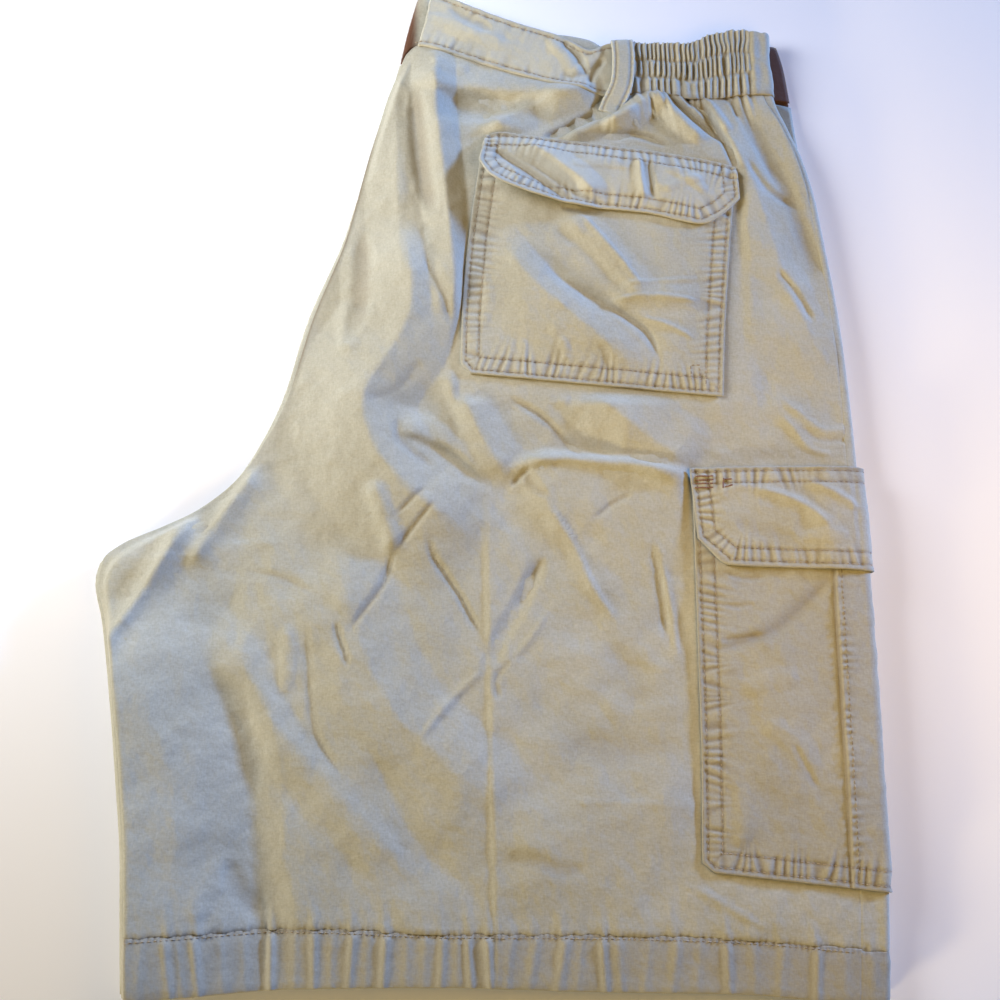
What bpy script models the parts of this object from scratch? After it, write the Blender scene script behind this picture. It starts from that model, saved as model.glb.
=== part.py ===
"""Cargo shorts, folded in half lengthwise and laid on a flat surface.

The back of one leg lies on top, its side fold at +X and its inseam and rise at -X. The hem is at -Y and the
waist at +Y, and the surface is Z = 0. Under the top leg panel lie three more layers of cloth, which share one
rounded solid that is layered at its edges. All sizes here are millimetres; METRE turns them to metres where a
mesh is made.
"""
import math
from collections import namedtuple

import bmesh
import bpy
import numpy as np

METRE = 0.001

KHAKI = (0.44, 0.40, 0.29)
KHAKI_LIGHT = (0.50, 0.46, 0.35)
SHADE = (0.36, 0.31, 0.24)
ROUGHNESS = 0.9

# Cloth and seams
CLOTH = 1.2             # wall of one layer of twill
DOUBLED = 1.9           # wall of a hem or waistband, two layers sewn flat
GAP = 0.4               # between pieces that lie on or beside each other
SEAM_GAP = 0.7          # under the waistband, where the two edges follow a curve in unlike steps
BAND_RISE = 0.8         # how far the waistband stands above the leg panel
HEM_RISE = 0.6          # how far the turned hem stands above the leg panel
FOLD_RADIUS = 3.2       # outside radius of the leg panel where it rolls over the side fold
TUCK = 8.0              # how far the front panel runs back in under the side fold
ARC_STEPS = 5           # facets round the side fold

# Heights of the top panel above the surface
PLATEAU = 13.2          # middle of the leg
INSEAM_HEIGHT = 10.8    # along the inseam and rise
HEM_DROP = 1.8          # how much lower the stack is at the hem
HEM_Y = -289.0
LEFT_ROLL = 42.0        # width over which the panel falls to the inseam
RIGHT_ROLL = 60.0       # width over which it meets the side fold

# Grid of the leg panel
PANEL_COLUMNS = 32
PANEL_ROWS = 37
STACK_COLUMNS = 16
STACK_ROWS = 22
FLOOR_REACH = 11.0      # the hidden layers stay under the lowest point this near
FLOOR_GAP = 2.6

# The folded garment from hem to waist: both edges of the hidden layers, both edges of the top layer, and the
# height of the middle of the side fold.
Section = namedtuple("Section", "y left right top_left top_right fold_z")
SECTIONS = [
    Section(-291, -184.0, 206.0, -181.5, 206.0, 9.0),
    Section(-258, -186.5, 208.5, -183.0, 208.5, 9.2),
    Section(-235, -188.0, 209.5, -184.5, 209.5, 9.8),
    Section(-220, -189.0, 210.0, -185.5, 209.5, 10.8),
    Section(-180, -194.0, 210.0, -190.0, 209.3, 11.2),
    Section(-138, -200.0, 210.0, -196.5, 209.3, 11.2),
    Section(-96, -207.0, 210.0, -203.5, 209.0, 11.2),
    Section(-74, -212.0, 210.0, -208.0, 208.8, 11.2),
    Section(-63, -209.5, 209.8, -206.5, 208.5, 11.2),
    Section(-55, -199.0, 209.5, -197.5, 208.2, 11.2),
    Section(-44, -175.0, 209.3, -173.0, 208.0, 11.2),
    Section(-36, -159.0, 209.1, -157.0, 207.8, 11.2),
    Section(-18, -138.0, 208.6, -135.5, 207.0, 10.8),
    Section(5, -124.0, 207.5, -120.5, 206.5, 9.8),
    Section(28, -114.0, 206.0, -110.0, 205.6, 9.4),
    Section(76, -101.0, 203.0, -96.5, 202.4, 9.4),
    Section(125, -82.0, 196.8, -79.0, 196.3, 9.4),
    Section(150, -75.0, 193.4, -73.0, 192.8, 9.4),
    Section(176, -68.0, 188.0, -67.0, 186.4, 9.4),
    Section(195, -62.8, 185.0, -62.0, 179.0, 9.6),
    Section(213, -58.0, 183.0, -57.2, 172.4, 9.8),
    Section(238, -51.5, 180.0, -48.5, 170.6, 9.8),
    Section(262, -46.5, 174.0, -41.0, 169.5, 9.8),
    Section(292, -39.0, 167.0, -35.5, 165.0, 9.6),
]

# The hem from the inseam to the side fold: its lower edge and its stitch line.
HemRow = namedtuple("HemRow", "x edge line")
HEM = [
    HemRow(-190, -287.0, -258.0),
    HemRow(-150, -285.0, -256.0),
    HemRow(-90, -282.0, -254.0),
    HemRow(-20, -281.5, -256.5),
    HemRow(60, -283.5, -257.0),
    HemRow(130, -284.5, -259.0),
    HemRow(172, -287.5, -262.0),
    HemRow(212, -289.0, -266.0),
]

# The waist from the rise to the side fold: the seam under the band, the top of the back band, and the top of
# the band behind it.
WaistRow = namedtuple("WaistRow", "x seam top behind")
WAIST = [
    WaistRow(-60, 233.0, 293.0, 293.5),
    WaistRow(-49, 241.0, 291.0, 292.3),
    WaistRow(-40, 249.0, 288.0, 289.0),
    WaistRow(-26, 245.0, 282.0, 281.0),
    WaistRow(1, 235.0, 269.0, 268.0),
    WaistRow(21, 228.5, 261.0, 261.5),
    WaistRow(35, 224.0, 256.5, 260.0),
    WaistRow(50, 219.5, 250.5, 258.5),
    WaistRow(63, 215.5, 243.5, 255.5),
    WaistRow(75, 214.5, 248.0, 248.5),
    WaistRow(92, 216.0, 248.5, 246.0),
    WaistRow(110, 215.0, 248.0, 246.0),
    WaistRow(124, 212.0, 249.0, 247.0),
    WaistRow(136, 212.5, 254.5, 252.0),
    WaistRow(153, 215.0, 257.0, 254.5),
    WaistRow(166, 215.5, 255.5, 253.5),
    WaistRow(190, 211.0, 250.0, 250.0),
]

# How far the side seam lies in from the side fold.
SeamRow = namedtuple("SeamRow", "y inset")
SIDE_SEAM = [
    SeamRow(-291, 15.0),
    SeamRow(-234, 15.5),
    SeamRow(-100, 9.0),
    SeamRow(60, 5.0),
    SeamRow(190, 4.4),
    SeamRow(215, 7.0),
]

# Folds of the leg panel: a ridge, or a hollow where the height is negative, with its half width on the left
# and on the right of its path. A crest of 1 is a sharp crease and 2 is round.
Fold = namedtuple("Fold", "name height left right crest path")
PANEL_FOLDS = [
    Fold("seat to knee", 6.0, 46, 30, 2,
         ((-50, 235), (-53, 150), (-42, 103), (-46, 62), (-68, 25), (-58, -6), (-28, -36), (8, -62))),
    Fold("inseam roll", 5.5, 42, 12, 2, ((-190, -70), (-186, -140), (-181, -190), (-177, -268))),
    Fold("inseam hollow", -2.5, 26, 30, 2,
         ((-140, -80), (-145, -118), (-124, -165), (-119, -225), (-106, -262))),
    Fold("crotch ridge", 3.6, 14, 12, 1, ((-163, -44), (-179, -74), (-190, -101), (-199, -126))),
    Fold("rise ridge", 3.2, 20, 13, 1, ((-128, -22), (-141, -42), (-152, -60))),
    Fold("knee hollow", -2.6, 10, 32, 2, ((-80, -152), (-46, -182), (-32, -210), (-14, -228), (6, -238))),
    Fold("knee crest", 2.8, 26, 30, 2, ((-52, -85), (-44, -130), (-28, -162), (0, -184))),
    Fold("pressed crease", 1.4, 12, 12, 1, ((2, -20), (3, -96), (5, -149), (7, -215), (8, -268))),
    Fold("pocket side ridge", 4.2, 12, 9, 2, ((-32, 222), (-25, 166), (-23, 110), (-25, 55))),
    Fold("under pocket ridge", 3.0, 16, 24, 2, ((55, 30), (84, 5), (112, -12))),
    Fold("under pocket fold", 2.2, 18, 14, 2, ((-14, 40), (4, 15), (16, -8))),
    Fold("cargo shelf", 3.0, 16, 9, 2, ((14, -9), (59, -8), (106, -14))),
    Fold("yoke ridge", 3.5, 12, 16, 2, ((2, 197), (33, 207), (64, 212))),
    Fold("yoke hollow", -2.6, 12, 12, 2, ((-24, 213), (12, 209), (50, 215))),
    Fold("side crest", 4.2, 16, 22, 2, ((136, 208), (160, 166), (171, 122), (184, 76), (200, 30))),
    Fold("side hollow", -2.0, 10, 16, 2, ((148, 205), (168, 175), (184, 146), (190, 112))),
    Fold("side wedge", 2.4, 14, 12, 2, ((152, 28), (178, 14), (200, 8))),
    Fold("knee crease", -1.6, 9, 9, 2, ((31, -62), (20, -86), (6, -120))),
    Fold("thigh crease", -1.2, 9, 9, 2, ((34, -35), (53, -58), (76, -104))),
    Fold("hook ridge", 2.2, 9, 9, 2, ((-58, -26), (-52, -43), (-47, -60))),
]

# Folds of the back pocket and of the cargo pocket, above the cloth they are sewn on.
POCKET_FOLDS = [
    Fold("pocket sag", 3.4, 16, 13, 2, ((8, 118), (35, 102), (60, 84), (84, 72), (98, 50))),
    Fold("pocket shelf", 1.8, 12, 10, 2, ((72, 84), (100, 85), (128, 84))),
    Fold("pocket droop", 1.6, 12, 12, 2, ((50, 140), (66, 118), (88, 94))),
]
CARGO_FOLDS = [
    Fold("cargo swell", 1.4, 26, 26, 2, ((152, -90), (158, -140), (150, -196))),
]

# Back pocket: its edges at a fraction of the way from bottom to top.
PocketRow = namedtuple("PocketRow", "up left_x left_y right_x right_y")
BACK_POCKET = [
    PocketRow(0.00, -7.0, 41.5, 133.0, 28.0),
    PocketRow(0.05, -12.0, 48.0, 133.3, 34.0),
    PocketRow(0.25, -11.5, 76.0, 135.0, 62.0),
    PocketRow(0.60, -8.0, 122.0, 139.5, 110.0),
    PocketRow(1.00, -1.0, 176.0, 145.0, 160.0),
]

# Back pocket flap: its top seam and its lower edge at a fraction of the way across.
FlapRow = namedtuple("FlapRow", "across top_x top_y low_x low_y")
BACK_FLAP = [
    FlapRow(0.00, 1.0, 186.0, -2.0, 166.0),
    FlapRow(0.06, 8.0, 187.5, 4.0, 156.0),
    FlapRow(0.15, 21.0, 186.5, 17.0, 149.0),
    FlapRow(0.27, 38.0, 184.0, 36.0, 143.0),
    FlapRow(0.42, 60.0, 181.0, 60.0, 139.5),
    FlapRow(0.64, 92.0, 176.5, 92.0, 136.5),
    FlapRow(0.87, 125.0, 171.0, 125.0, 130.0),
    FlapRow(0.94, 137.0, 168.5, 137.0, 136.5),
    FlapRow(1.00, 146.0, 166.0, 147.0, 146.0),
]
CARGO_FLAP = [
    FlapRow(0.00, 114.0, -14.0, 117.0, -52.0),
    FlapRow(0.20, 129.0, -13.5, 133.0, -66.5),
    FlapRow(0.60, 164.0, -13.0, 166.0, -68.0),
    FlapRow(1.00, 212.0, -13.5, 212.0, -70.0),
]
CARGO_TOP = -24.0       # top edge of the cargo pocket, under its flap
CARGO_LEFT = 115.0      # its edge on the back panel
CARGO_CORNER = 4.0      # how much its lower corner is cut off
CARGO_LOW = -225.0      # its lower edge, at the corner
CARGO_SLOPE = 0.11      # how fast that edge falls toward the side fold
PLEAT_X = 190.0         # edge of the cargo pocket's pleat
PLEAT_RISE = 1.2
PLEAT_STEP = 1.5        # width over which the pleat's edge steps up
CARGO_PUFF = 1.0        # slack of the cargo pocket

POCKET_SWELL = 2.8      # how far the leg stands up under the back pocket
POCKET_PUFF = 1.6       # slack of the back pocket
FLAP_BULGE = 1.6        # how far the middle of a flap stands up
CURL = 8.0              # how far the free corner of the back flap curls up
ARC_TUCK = 2.0          # how far a pocket runs in under the side fold

# Elastic waistband
GATHERS = 24
GATHER_STEPS = 4
GATHER_DEPTH = 0.7
ELASTIC_START = 77.4
ELASTIC_END = 158.0
ELASTIC_WALL = 1.5

# Belt loop: its middle line from the lower end to the top, and its height above the leg panel.
LoopRow = namedtuple("LoopRow", "x y rise")
BELT_LOOP = [
    LoopRow(73.6, 201.5, 1.9),
    LoopRow(75.2, 206.0, 2.4),
    LoopRow(78.6, 213.0, 3.6),
    LoopRow(81.2, 220.0, 4.3),
    LoopRow(82.4, 229.0, 4.5),
    LoopRow(82.7, 238.0, 4.3),
    LoopRow(82.4, 245.0, 3.6),
    LoopRow(82.2, 249.0, 2.4),
    LoopRow(82.1, 250.6, 1.0),
    LoopRow(82.1, 250.9, -0.8),
]
LOOP_WIDTH = 12.0
LOOP_WALL = 1.4

# Edge of the hidden layers, from the surface up: the height, and how far in the edge lies on the inseam side,
# at the two ends and at the side fold. There it is measured from the outer edge beside the surface, or from
# the fold beside the tuck, and its height is a share of the room under the front panel's tuck, or is counted
# from the middle of the fold over it. The grooves part the layers.
Level = namedtuple("Level", "z inseam end fold_in beside under_tuck over_tuck")
LEVELS = [
    Level(0.0, 2.0, 1.8, 2.4, "surface", 0.00, 0.0),
    Level(0.7, 0.6, 0.6, 0.8, "surface", 0.16, 0.0),
    Level(1.9, 0.2, 0.3, 0.2, "surface", 0.45, 0.0),
    Level(2.7, 2.2, 1.8, 0.6, "surface", 0.70, 0.0),
    Level(3.5, 0.4, 0.5, 2.0, "surface", 0.94, 0.0),
    Level(4.6, 0.3, 0.5, 15.0, "tuck", 1.00, 0.0),
    Level(5.4, 2.2, 1.9, 15.0, "tuck", 0.00, -1.7),
    Level(6.2, 0.6, 0.8, 4.6, "tuck", 0.00, -1.4),
    Level(7.3, 0.8, 1.2, 2.6, "tuck", 0.00, 0.2),
]
TOP_IN = 2.8            # how far in the top of the hidden layers starts
WRAP_ROOM = 0.5         # left under what wraps the side fold
CARGO_WRAP = 3.4        # thickness of the cargo pocket and flap round the fold
BAND_WRAP = 1.0         # how much further out the waistband wraps


class Curve:
    """A smooth line through a table's rows that never swings past them."""

    def __init__(self, places, values):
        self.x = np.array(places, dtype=float)
        self.y = np.array(values, dtype=float)
        step = np.diff(self.x)
        slope = np.diff(self.y) / step
        tangent = np.zeros(len(self.x))
        for i in range(1, len(self.x) - 1):
            if slope[i - 1] * slope[i] > 0:
                before = 2 * step[i] + step[i - 1]
                after = step[i] + 2 * step[i - 1]
                tangent[i] = (before + after) / (before / slope[i - 1] + after / slope[i])
        tangent[0] = slope[0]
        tangent[-1] = slope[-1]
        self.tangent = tangent

    def __call__(self, at):
        at = min(max(at, self.x[0]), self.x[-1])
        i = int(min(np.searchsorted(self.x, at, side="right") - 1, len(self.x) - 2))
        width = self.x[i + 1] - self.x[i]
        f = (at - self.x[i]) / width
        return float(
            (1 + 2 * f) * (1 - f) ** 2 * self.y[i]
            + f * (1 - f) ** 2 * width * self.tangent[i]
            + f * f * (3 - 2 * f) * self.y[i + 1]
            + f * f * (f - 1) * width * self.tangent[i + 1]
        )


def column(rows, place, value):
    """The smooth line of one named column of a table."""
    return Curve([getattr(row, place) for row in rows], [getattr(row, value) for row in rows])


LEFT = column(SECTIONS, "y", "left")
RIGHT = column(SECTIONS, "y", "right")
TOP_LEFT = column(SECTIONS, "y", "top_left")
TOP_RIGHT = column(SECTIONS, "y", "top_right")
FOLD_Z = column(SECTIONS, "y", "fold_z")
HEM_EDGE = column(HEM, "x", "edge")
HEM_LINE = column(HEM, "x", "line")
WAIST_SEAM = column(WAIST, "x", "seam")
WAIST_TOP = column(WAIST, "x", "top")
WAIST_BEHIND = column(WAIST, "x", "behind")
SEAM_INSET = column(SIDE_SEAM, "y", "inset")


def mix(a, b, share):
    return a + (b - a) * share


def ease(value):
    """0 below 0, 1 above 1, and smooth between."""
    value = min(max(value, 0.0), 1.0)
    return value * value * (3 - 2 * value)


def inside(value, low, high, soft):
    """1 well inside a range and 0 outside it, with soft ends."""
    return ease((value - low) / soft + 0.5) * ease((high - value) / soft + 0.5)


def smooth_path(points, per_span=6):
    """Points along a smooth curve through a fold's few points."""
    p = [np.array(point, dtype=float) for point in points]
    p = [2 * p[0] - p[1]] + p + [2 * p[-1] - p[-2]]
    samples = []
    for i in range(1, len(p) - 2):
        for k in range(per_span):
            t = k / per_span
            samples.append(0.5 * (
                2 * p[i] + (p[i + 1] - p[i - 1]) * t
                + (2 * p[i - 1] - 5 * p[i] + 4 * p[i + 1] - p[i + 2]) * t * t
                + (3 * p[i] - p[i - 1] - 3 * p[i + 1] + p[i + 2]) * t ** 3
            ))
    samples.append(p[-2])
    return np.array(samples)


def fold_height(fold, path, x, y):
    """Height that one fold adds at a place."""
    start = path[:-1]
    along = path[1:] - start
    offset = np.array((x, y)) - start
    share = np.clip((offset * along).sum(1) / (along * along).sum(1), 0, 1)
    away = offset - along * share[:, None]
    distance = np.hypot(away[:, 0], away[:, 1])
    i = int(distance.argmin())
    side = along[i, 0] * away[i, 1] - along[i, 1] * away[i, 0]
    reach = distance[i] / (fold.left if side > 0 else fold.right)
    if reach >= 1:
        return 0.0
    place = (i + share[i]) / len(along)
    taper = ease(place / 0.2) * ease((1 - place) / 0.2)
    profile = (1 - reach) ** 2 if fold.crest == 1 else 0.5 + 0.5 * math.cos(math.pi * reach)
    return fold.height * taper * profile


def with_paths(folds):
    return [(fold, smooth_path(fold.path)) for fold in folds]


PANEL = with_paths(PANEL_FOLDS)
POCKET = with_paths(POCKET_FOLDS)
CARGO = with_paths(CARGO_FOLDS)


def folds_at(folds, x, y):
    return sum(fold_height(fold, path, x, y) for fold, path in folds)


def under_back_pocket(x, y):
    return inside(x, -22, 150, 8) * inside(y, 20, 195, 12)


def under_cargo_pocket(x, y):
    return ease((x - 110) / 14) * inside(y, -232, -12, 14)


def height(x, y):
    """Top of the leg panel above the surface."""
    slope = (TOP_LEFT(y + 1) - TOP_LEFT(y - 1)) / 2
    from_left = (x - TOP_LEFT(y)) / math.sqrt(1 + slope * slope)
    fold_start = TOP_RIGHT(y) - FOLD_RADIUS
    from_fold = fold_start - x
    side = FOLD_Z(y) + FOLD_RADIUS
    z = PLATEAU - (PLATEAU - INSEAM_HEIGHT) * (1 - ease(from_left / LEFT_ROLL))
    z -= HEM_DROP * (1 - ease((y - HEM_Y) / 60)) * ease(from_left / LEFT_ROLL) * ease(from_fold / RIGHT_ROLL)
    z += POCKET_SWELL * inside(x, -30, 165, 60) * inside(y, 10, 205, 60)
    pocket = max(under_back_pocket(x, y), under_cargo_pocket(x, y))
    z += folds_at(PANEL, x, y) * (1 - pocket) * ease(from_left / 5)
    z = mix(side, z, ease(from_fold / RIGHT_ROLL)) if from_fold > 0 else side
    if from_fold < 0:
        across = min(-from_fold, FOLD_RADIUS)
        z = FOLD_Z(y) + math.sqrt(FOLD_RADIUS ** 2 - across ** 2)
    return z


def wrapped(y, run, rise):
    """A place on the cloth that rolls over the side fold.

    run is measured from where the roll starts, below 0 on top of the leg; rise is the height above the panel.
    """
    start = TOP_RIGHT(y) - FOLD_RADIUS
    middle = FOLD_Z(y)
    half_turn = math.pi * FOLD_RADIUS
    if run <= 0:
        return start + run, height(start + run, y) + rise
    if run >= half_turn:
        return start - (run - half_turn), middle - FOLD_RADIUS - rise
    angle = run / FOLD_RADIUS
    radius = FOLD_RADIUS + rise
    return start + radius * math.sin(angle), middle + radius * math.cos(angle)


def arc_runs(flat_runs, tuck):
    """Columns across a piece that wraps the fold: those on top, round the arc and in under it."""
    arc = [math.pi * FOLD_RADIUS * k / ARC_STEPS for k in range(ARC_STEPS + 1)]
    return list(flat_runs) + arc + [arc[-1] + tuck]


def leg_place(across, up, low, high):
    """A place on the top panel at a share of the way across and up between two lines in x."""
    x, y = 0.0, 0.0
    for _ in range(12):
        y = mix(low(x), high(x), up)
        edge = TOP_RIGHT(y) - SEAM_INSET(y) - GAP / 2
        x = mix(TOP_LEFT(y), edge, across)
    return x, y


# ---- meshes ----

def new_object(name, mesh, colour):
    material = bpy.data.materials.new(name + "_cloth")
    material.use_nodes = True
    shader = material.node_tree.nodes["Principled BSDF"]
    shader.inputs["Base Color"].default_value = (*colour, 1.0)
    shader.inputs["Roughness"].default_value = ROUGHNESS
    shader.inputs["Metallic"].default_value = 0.0
    mesh.materials.append(material)
    mesh.shade_smooth()
    piece = bpy.data.objects.new(name, mesh)
    bpy.data.collections["cargo_shorts"].objects.link(piece)
    return piece


def sheet(name, columns, rows, place, wall, colour=KHAKI):
    """A sheet of cloth: an open grid laid on its outer face, and Solidify for the wall behind it."""
    bm = bmesh.new()
    bmesh.ops.create_grid(bm, x_segments=columns, y_segments=rows, size=0.5)
    for vertex in bm.verts:
        across = round((vertex.co.x + 0.5) * columns)
        up = round((vertex.co.y + 0.5) * rows)
        vertex.co = [METRE * value for value in place(across, up)]
    mesh = bpy.data.meshes.new(name)
    bm.to_mesh(mesh)
    bm.free()
    piece = new_object(name, mesh, colour)
    solidify = piece.modifiers.new("wall", "SOLIDIFY")
    solidify.thickness = wall * METRE
    solidify.offset = -1.0
    return piece


def loft(name, rings, floor, roof, colour):
    """A closed body from rings of equal length, capped by one face below and a grid of points above."""
    bm = bmesh.new()
    layers = [[bm.verts.new([METRE * value for value in point]) for point in ring] for ring in rings]
    count = len(layers[0])
    for lower, upper in zip(layers, layers[1:]):
        for i in range(count):
            j = (i + 1) % count
            bm.faces.new((lower[i], lower[j], upper[j], upper[i]))
    if floor:
        bm.faces.new(list(reversed(layers[0])))
    roof(bm, layers)
    mesh = bpy.data.meshes.new(name)
    bm.to_mesh(mesh)
    bm.free()
    return new_object(name, mesh, colour)


def rim(columns, rows):
    """The grid places round a sheet's edge, anticlockwise from its lower left corner."""
    return (
        [(i, 0) for i in range(columns)]
        + [(columns, j) for j in range(rows)]
        + [(i, rows) for i in range(columns, 0, -1)]
        + [(0, j) for j in range(rows, 0, -1)]
    )


def fill_grid(bm, edge, columns, rows, place, flip=False):
    """Faces of a grid whose rim vertices exist already."""
    points = dict(edge)
    for i in range(1, columns):
        for j in range(1, rows):
            points[i, j] = bm.verts.new([METRE * value for value in place(i, j)])
    for i in range(columns):
        for j in range(rows):
            corners = [points[i, j], points[i + 1, j], points[i + 1, j + 1], points[i, j + 1]]
            bm.faces.new(list(reversed(corners)) if flip else corners)


# ---- leg ----

def build_back_panel():
    def place(i, j):
        x, y = leg_place(
            i / PANEL_COLUMNS, j / PANEL_ROWS,
            lambda at: HEM_LINE(at) + GAP, lambda at: WAIST_SEAM(at) - SEAM_GAP)
        return x, y, height(x, y)
    sheet("back_panel", PANEL_COLUMNS, PANEL_ROWS, place, CLOTH)


def front_place(run, up, low, high, rise):
    y = 0.0
    for _ in range(6):
        x = TOP_RIGHT(y) - FOLD_RADIUS
        y = mix(low(x), high(x), up)
    if run is None:
        run = FOLD_RADIUS + GAP / 2 - SEAM_INSET(y)
    x, z = wrapped(y, run, rise)
    return x, y, z


def build_front_panel():
    runs = arc_runs([None], TUCK)

    def place(i, j):
        return front_place(
            runs[i], j / PANEL_ROWS,
            lambda at: HEM_LINE(at) + GAP, lambda at: WAIST_SEAM(at) - SEAM_GAP, 0.0)
    sheet("front_panel", len(runs) - 1, PANEL_ROWS, place, CLOTH)


def build_hems():
    rows = 2

    def low(at):
        return HEM_EDGE(at)

    def high(at):
        return HEM_LINE(at)

    def back(i, j):
        x, y = leg_place(i / PANEL_COLUMNS, j / rows, low, high)
        return x, y, height(x, y) + HEM_RISE - (0.5 if j == 0 else 0.0)
    sheet("hem_back", PANEL_COLUMNS, rows, back, DOUBLED, KHAKI_LIGHT)
    runs = arc_runs([None], TUCK)

    def front(i, j):
        return front_place(runs[i], j / rows, low, high, HEM_RISE)
    sheet("hem_front", len(runs) - 1, rows, front, DOUBLED, KHAKI_LIGHT)


# ---- hidden layers ----

def floor_under(x, y):
    """Height that stays clear below the top layer near a place."""
    lowest = PLATEAU * 2
    for dx in (-FLOOR_REACH, -FLOOR_REACH / 2, 0, FLOOR_REACH / 2, FLOOR_REACH):
        for dy in (-FLOOR_REACH, -FLOOR_REACH / 2, 0, FLOOR_REACH / 2, FLOOR_REACH):
            at_y = y + dy
            at_x = min(max(x + dx, TOP_LEFT(at_y) + 1), TOP_RIGHT(at_y) - FOLD_RADIUS)
            lowest = min(lowest, height(at_x, at_y))
    return lowest - FLOOR_GAP


def stack_place(across, up, low, high, in_left, in_fold, in_end, from_top_edge):
    """A place in the stack of hidden layers, with its four edges moved in."""
    x, y = 60.0, 0.0
    for _ in range(12):
        y = mix(low(x) + in_end, high(x) - in_end, up)
        slope = (LEFT(y + 1) - LEFT(y - 1)) / 2
        left = LEFT(y) + in_left * math.sqrt(1 + slope * slope)
        right = (min(TOP_RIGHT(y), RIGHT(y)) if from_top_edge else RIGHT(y)) - in_fold
        x = mix(left, right, across)
    return x, y


def level_height(level, across, y, wrap):
    under_tuck = FOLD_Z(y) - FOLD_RADIUS - wrap - WRAP_ROOM
    at_fold = FOLD_Z(y) + level.over_tuck if level.over_tuck else under_tuck * level.under_tuck
    return mix(level.z, at_fold, ease((across - 0.7) / 0.3))


def build_stack(name, columns, rows, low, high, wrap, colour):
    rings = []
    for level in LEVELS:
        ring = []
        for i, j in rim(columns, rows):
            across, up = i / columns, j / rows
            x, y = stack_place(
                across, up, low, high, level.inseam, level.fold_in, level.end, level.beside == "tuck")
            ring.append((x, y, level_height(level, across, y, wrap(y))))
        rings.append(ring)

    def roof_place(i, j):
        x, y = stack_place(i / columns, j / rows, low, high, TOP_IN, FOLD_RADIUS + 1.2, TOP_IN, True)
        return x, y, floor_under(x, y)
    rings.append([roof_place(i, j) for i, j in rim(columns, rows)])

    def roof(bm, layers):
        edge = dict(zip(rim(columns, rows), layers[-1]))
        fill_grid(bm, edge, columns, rows, roof_place)
    loft(name, rings, True, roof, colour)


def cargo_wrap(y):
    return CARGO_WRAP * inside(y, -246, 4, 12)


def build_hidden():
    build_stack(
        "hidden_layers", STACK_COLUMNS, STACK_ROWS,
        HEM_EDGE, lambda at: WAIST_SEAM(at) - SEAM_GAP, lambda y: HEM_RISE + cargo_wrap(y), KHAKI)
    build_stack(
        "waistband_hidden", STACK_COLUMNS, 3,
        lambda at: WAIST_SEAM(at) + SEAM_GAP, WAIST_BEHIND, lambda y: BAND_WRAP, SHADE)


# ---- waistband ----

def build_waistband_back():
    columns, rows = 14, 4

    def place(i, j):
        x = y = 0.0
        for _ in range(8):
            x = mix(TOP_LEFT(max(y, 238)) + 5.5, ELASTIC_START - GAP, i / columns)
            y = mix(WAIST_SEAM(x), WAIST_TOP(x), j / rows)
        return x, y, height(x, y) + BAND_RISE
    sheet("waistband_back", columns, rows, place, DOUBLED, KHAKI_LIGHT)


def build_waistband_side():
    """The gathered band: its outer face carries the gathers, and its inner face is plain."""
    rows = 3
    flat = GATHERS * GATHER_STEPS
    start = [mix(ELASTIC_START, ELASTIC_END, k / flat) for k in range(flat + 1)]
    runs = arc_runs([], TUCK)
    columns = flat + len(runs)

    def place(i, j, inner):
        up = j / rows
        wall = ELASTIC_WALL if inner else 0.0
        if i <= flat:
            x = start[i]
            y = mix(WAIST_SEAM(x), WAIST_TOP(x), up)
            ripple = math.cos(2 * math.pi * i / GATHER_STEPS) if i % flat else 0.0
            grip = math.sin(math.pi * up) ** 0.5
            rise = 0.0 if inner else GATHER_DEPTH * ripple * grip
            return x, y, height(x, y) + BAND_RISE + rise - wall
        x, y, z = front_place(runs[i - flat - 1], up, WAIST_SEAM, WAIST_TOP, BAND_RISE - wall)
        return x, y, z

    outer = [place(i, j, False) for i, j in rim(columns, rows)]
    inner = [place(i, j, True) for i, j in rim(columns, rows)]

    def roof(bm, layers):
        for ring, is_inner in ((layers[0], True), (layers[1], False)):
            edge = dict(zip(rim(columns, rows), ring))
            fill_grid(bm, edge, columns, rows, lambda i, j, k=is_inner: place(i, j, k), flip=is_inner)
    loft("waistband_side", [inner, outer], False, roof, KHAKI)


def build_belt_loop():
    columns, rows = 2, len(BELT_LOOP) - 1

    def place(i, j):
        row = BELT_LOOP[j]
        before = BELT_LOOP[max(j - 1, 0)]
        after = BELT_LOOP[min(j + 1, rows)]
        along = np.array((after.x - before.x, after.y - before.y))
        if j > rows - 3:
            along = np.array((0.0, 1.0))
        along = along / np.hypot(*along)
        side = LOOP_WIDTH * (i / columns - 0.5)
        x = row.x + along[1] * side
        y = row.y - along[0] * side
        return x, y, height(row.x, min(row.y, WAIST_TOP(row.x) - 2)) + row.rise
    sheet("belt_loop", columns, rows, place, LOOP_WALL, KHAKI_LIGHT)


# ---- pockets ----

def back_pocket_rise(x, y):
    """Height of the back pocket above the leg panel: its slack and folds fade at its edges."""
    across = (x - mix(-12, -2, (y - 35) / 140)) / 145
    up = (y - mix(41, 28, across)) / 135
    slack = ease(across / 0.25) * ease((1 - across) / 0.25) * ease(up / 0.25) * ease((1.15 - up) / 0.3)
    return GAP + CLOTH + (POCKET_PUFF + folds_at(POCKET, x, y)) * slack


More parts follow.
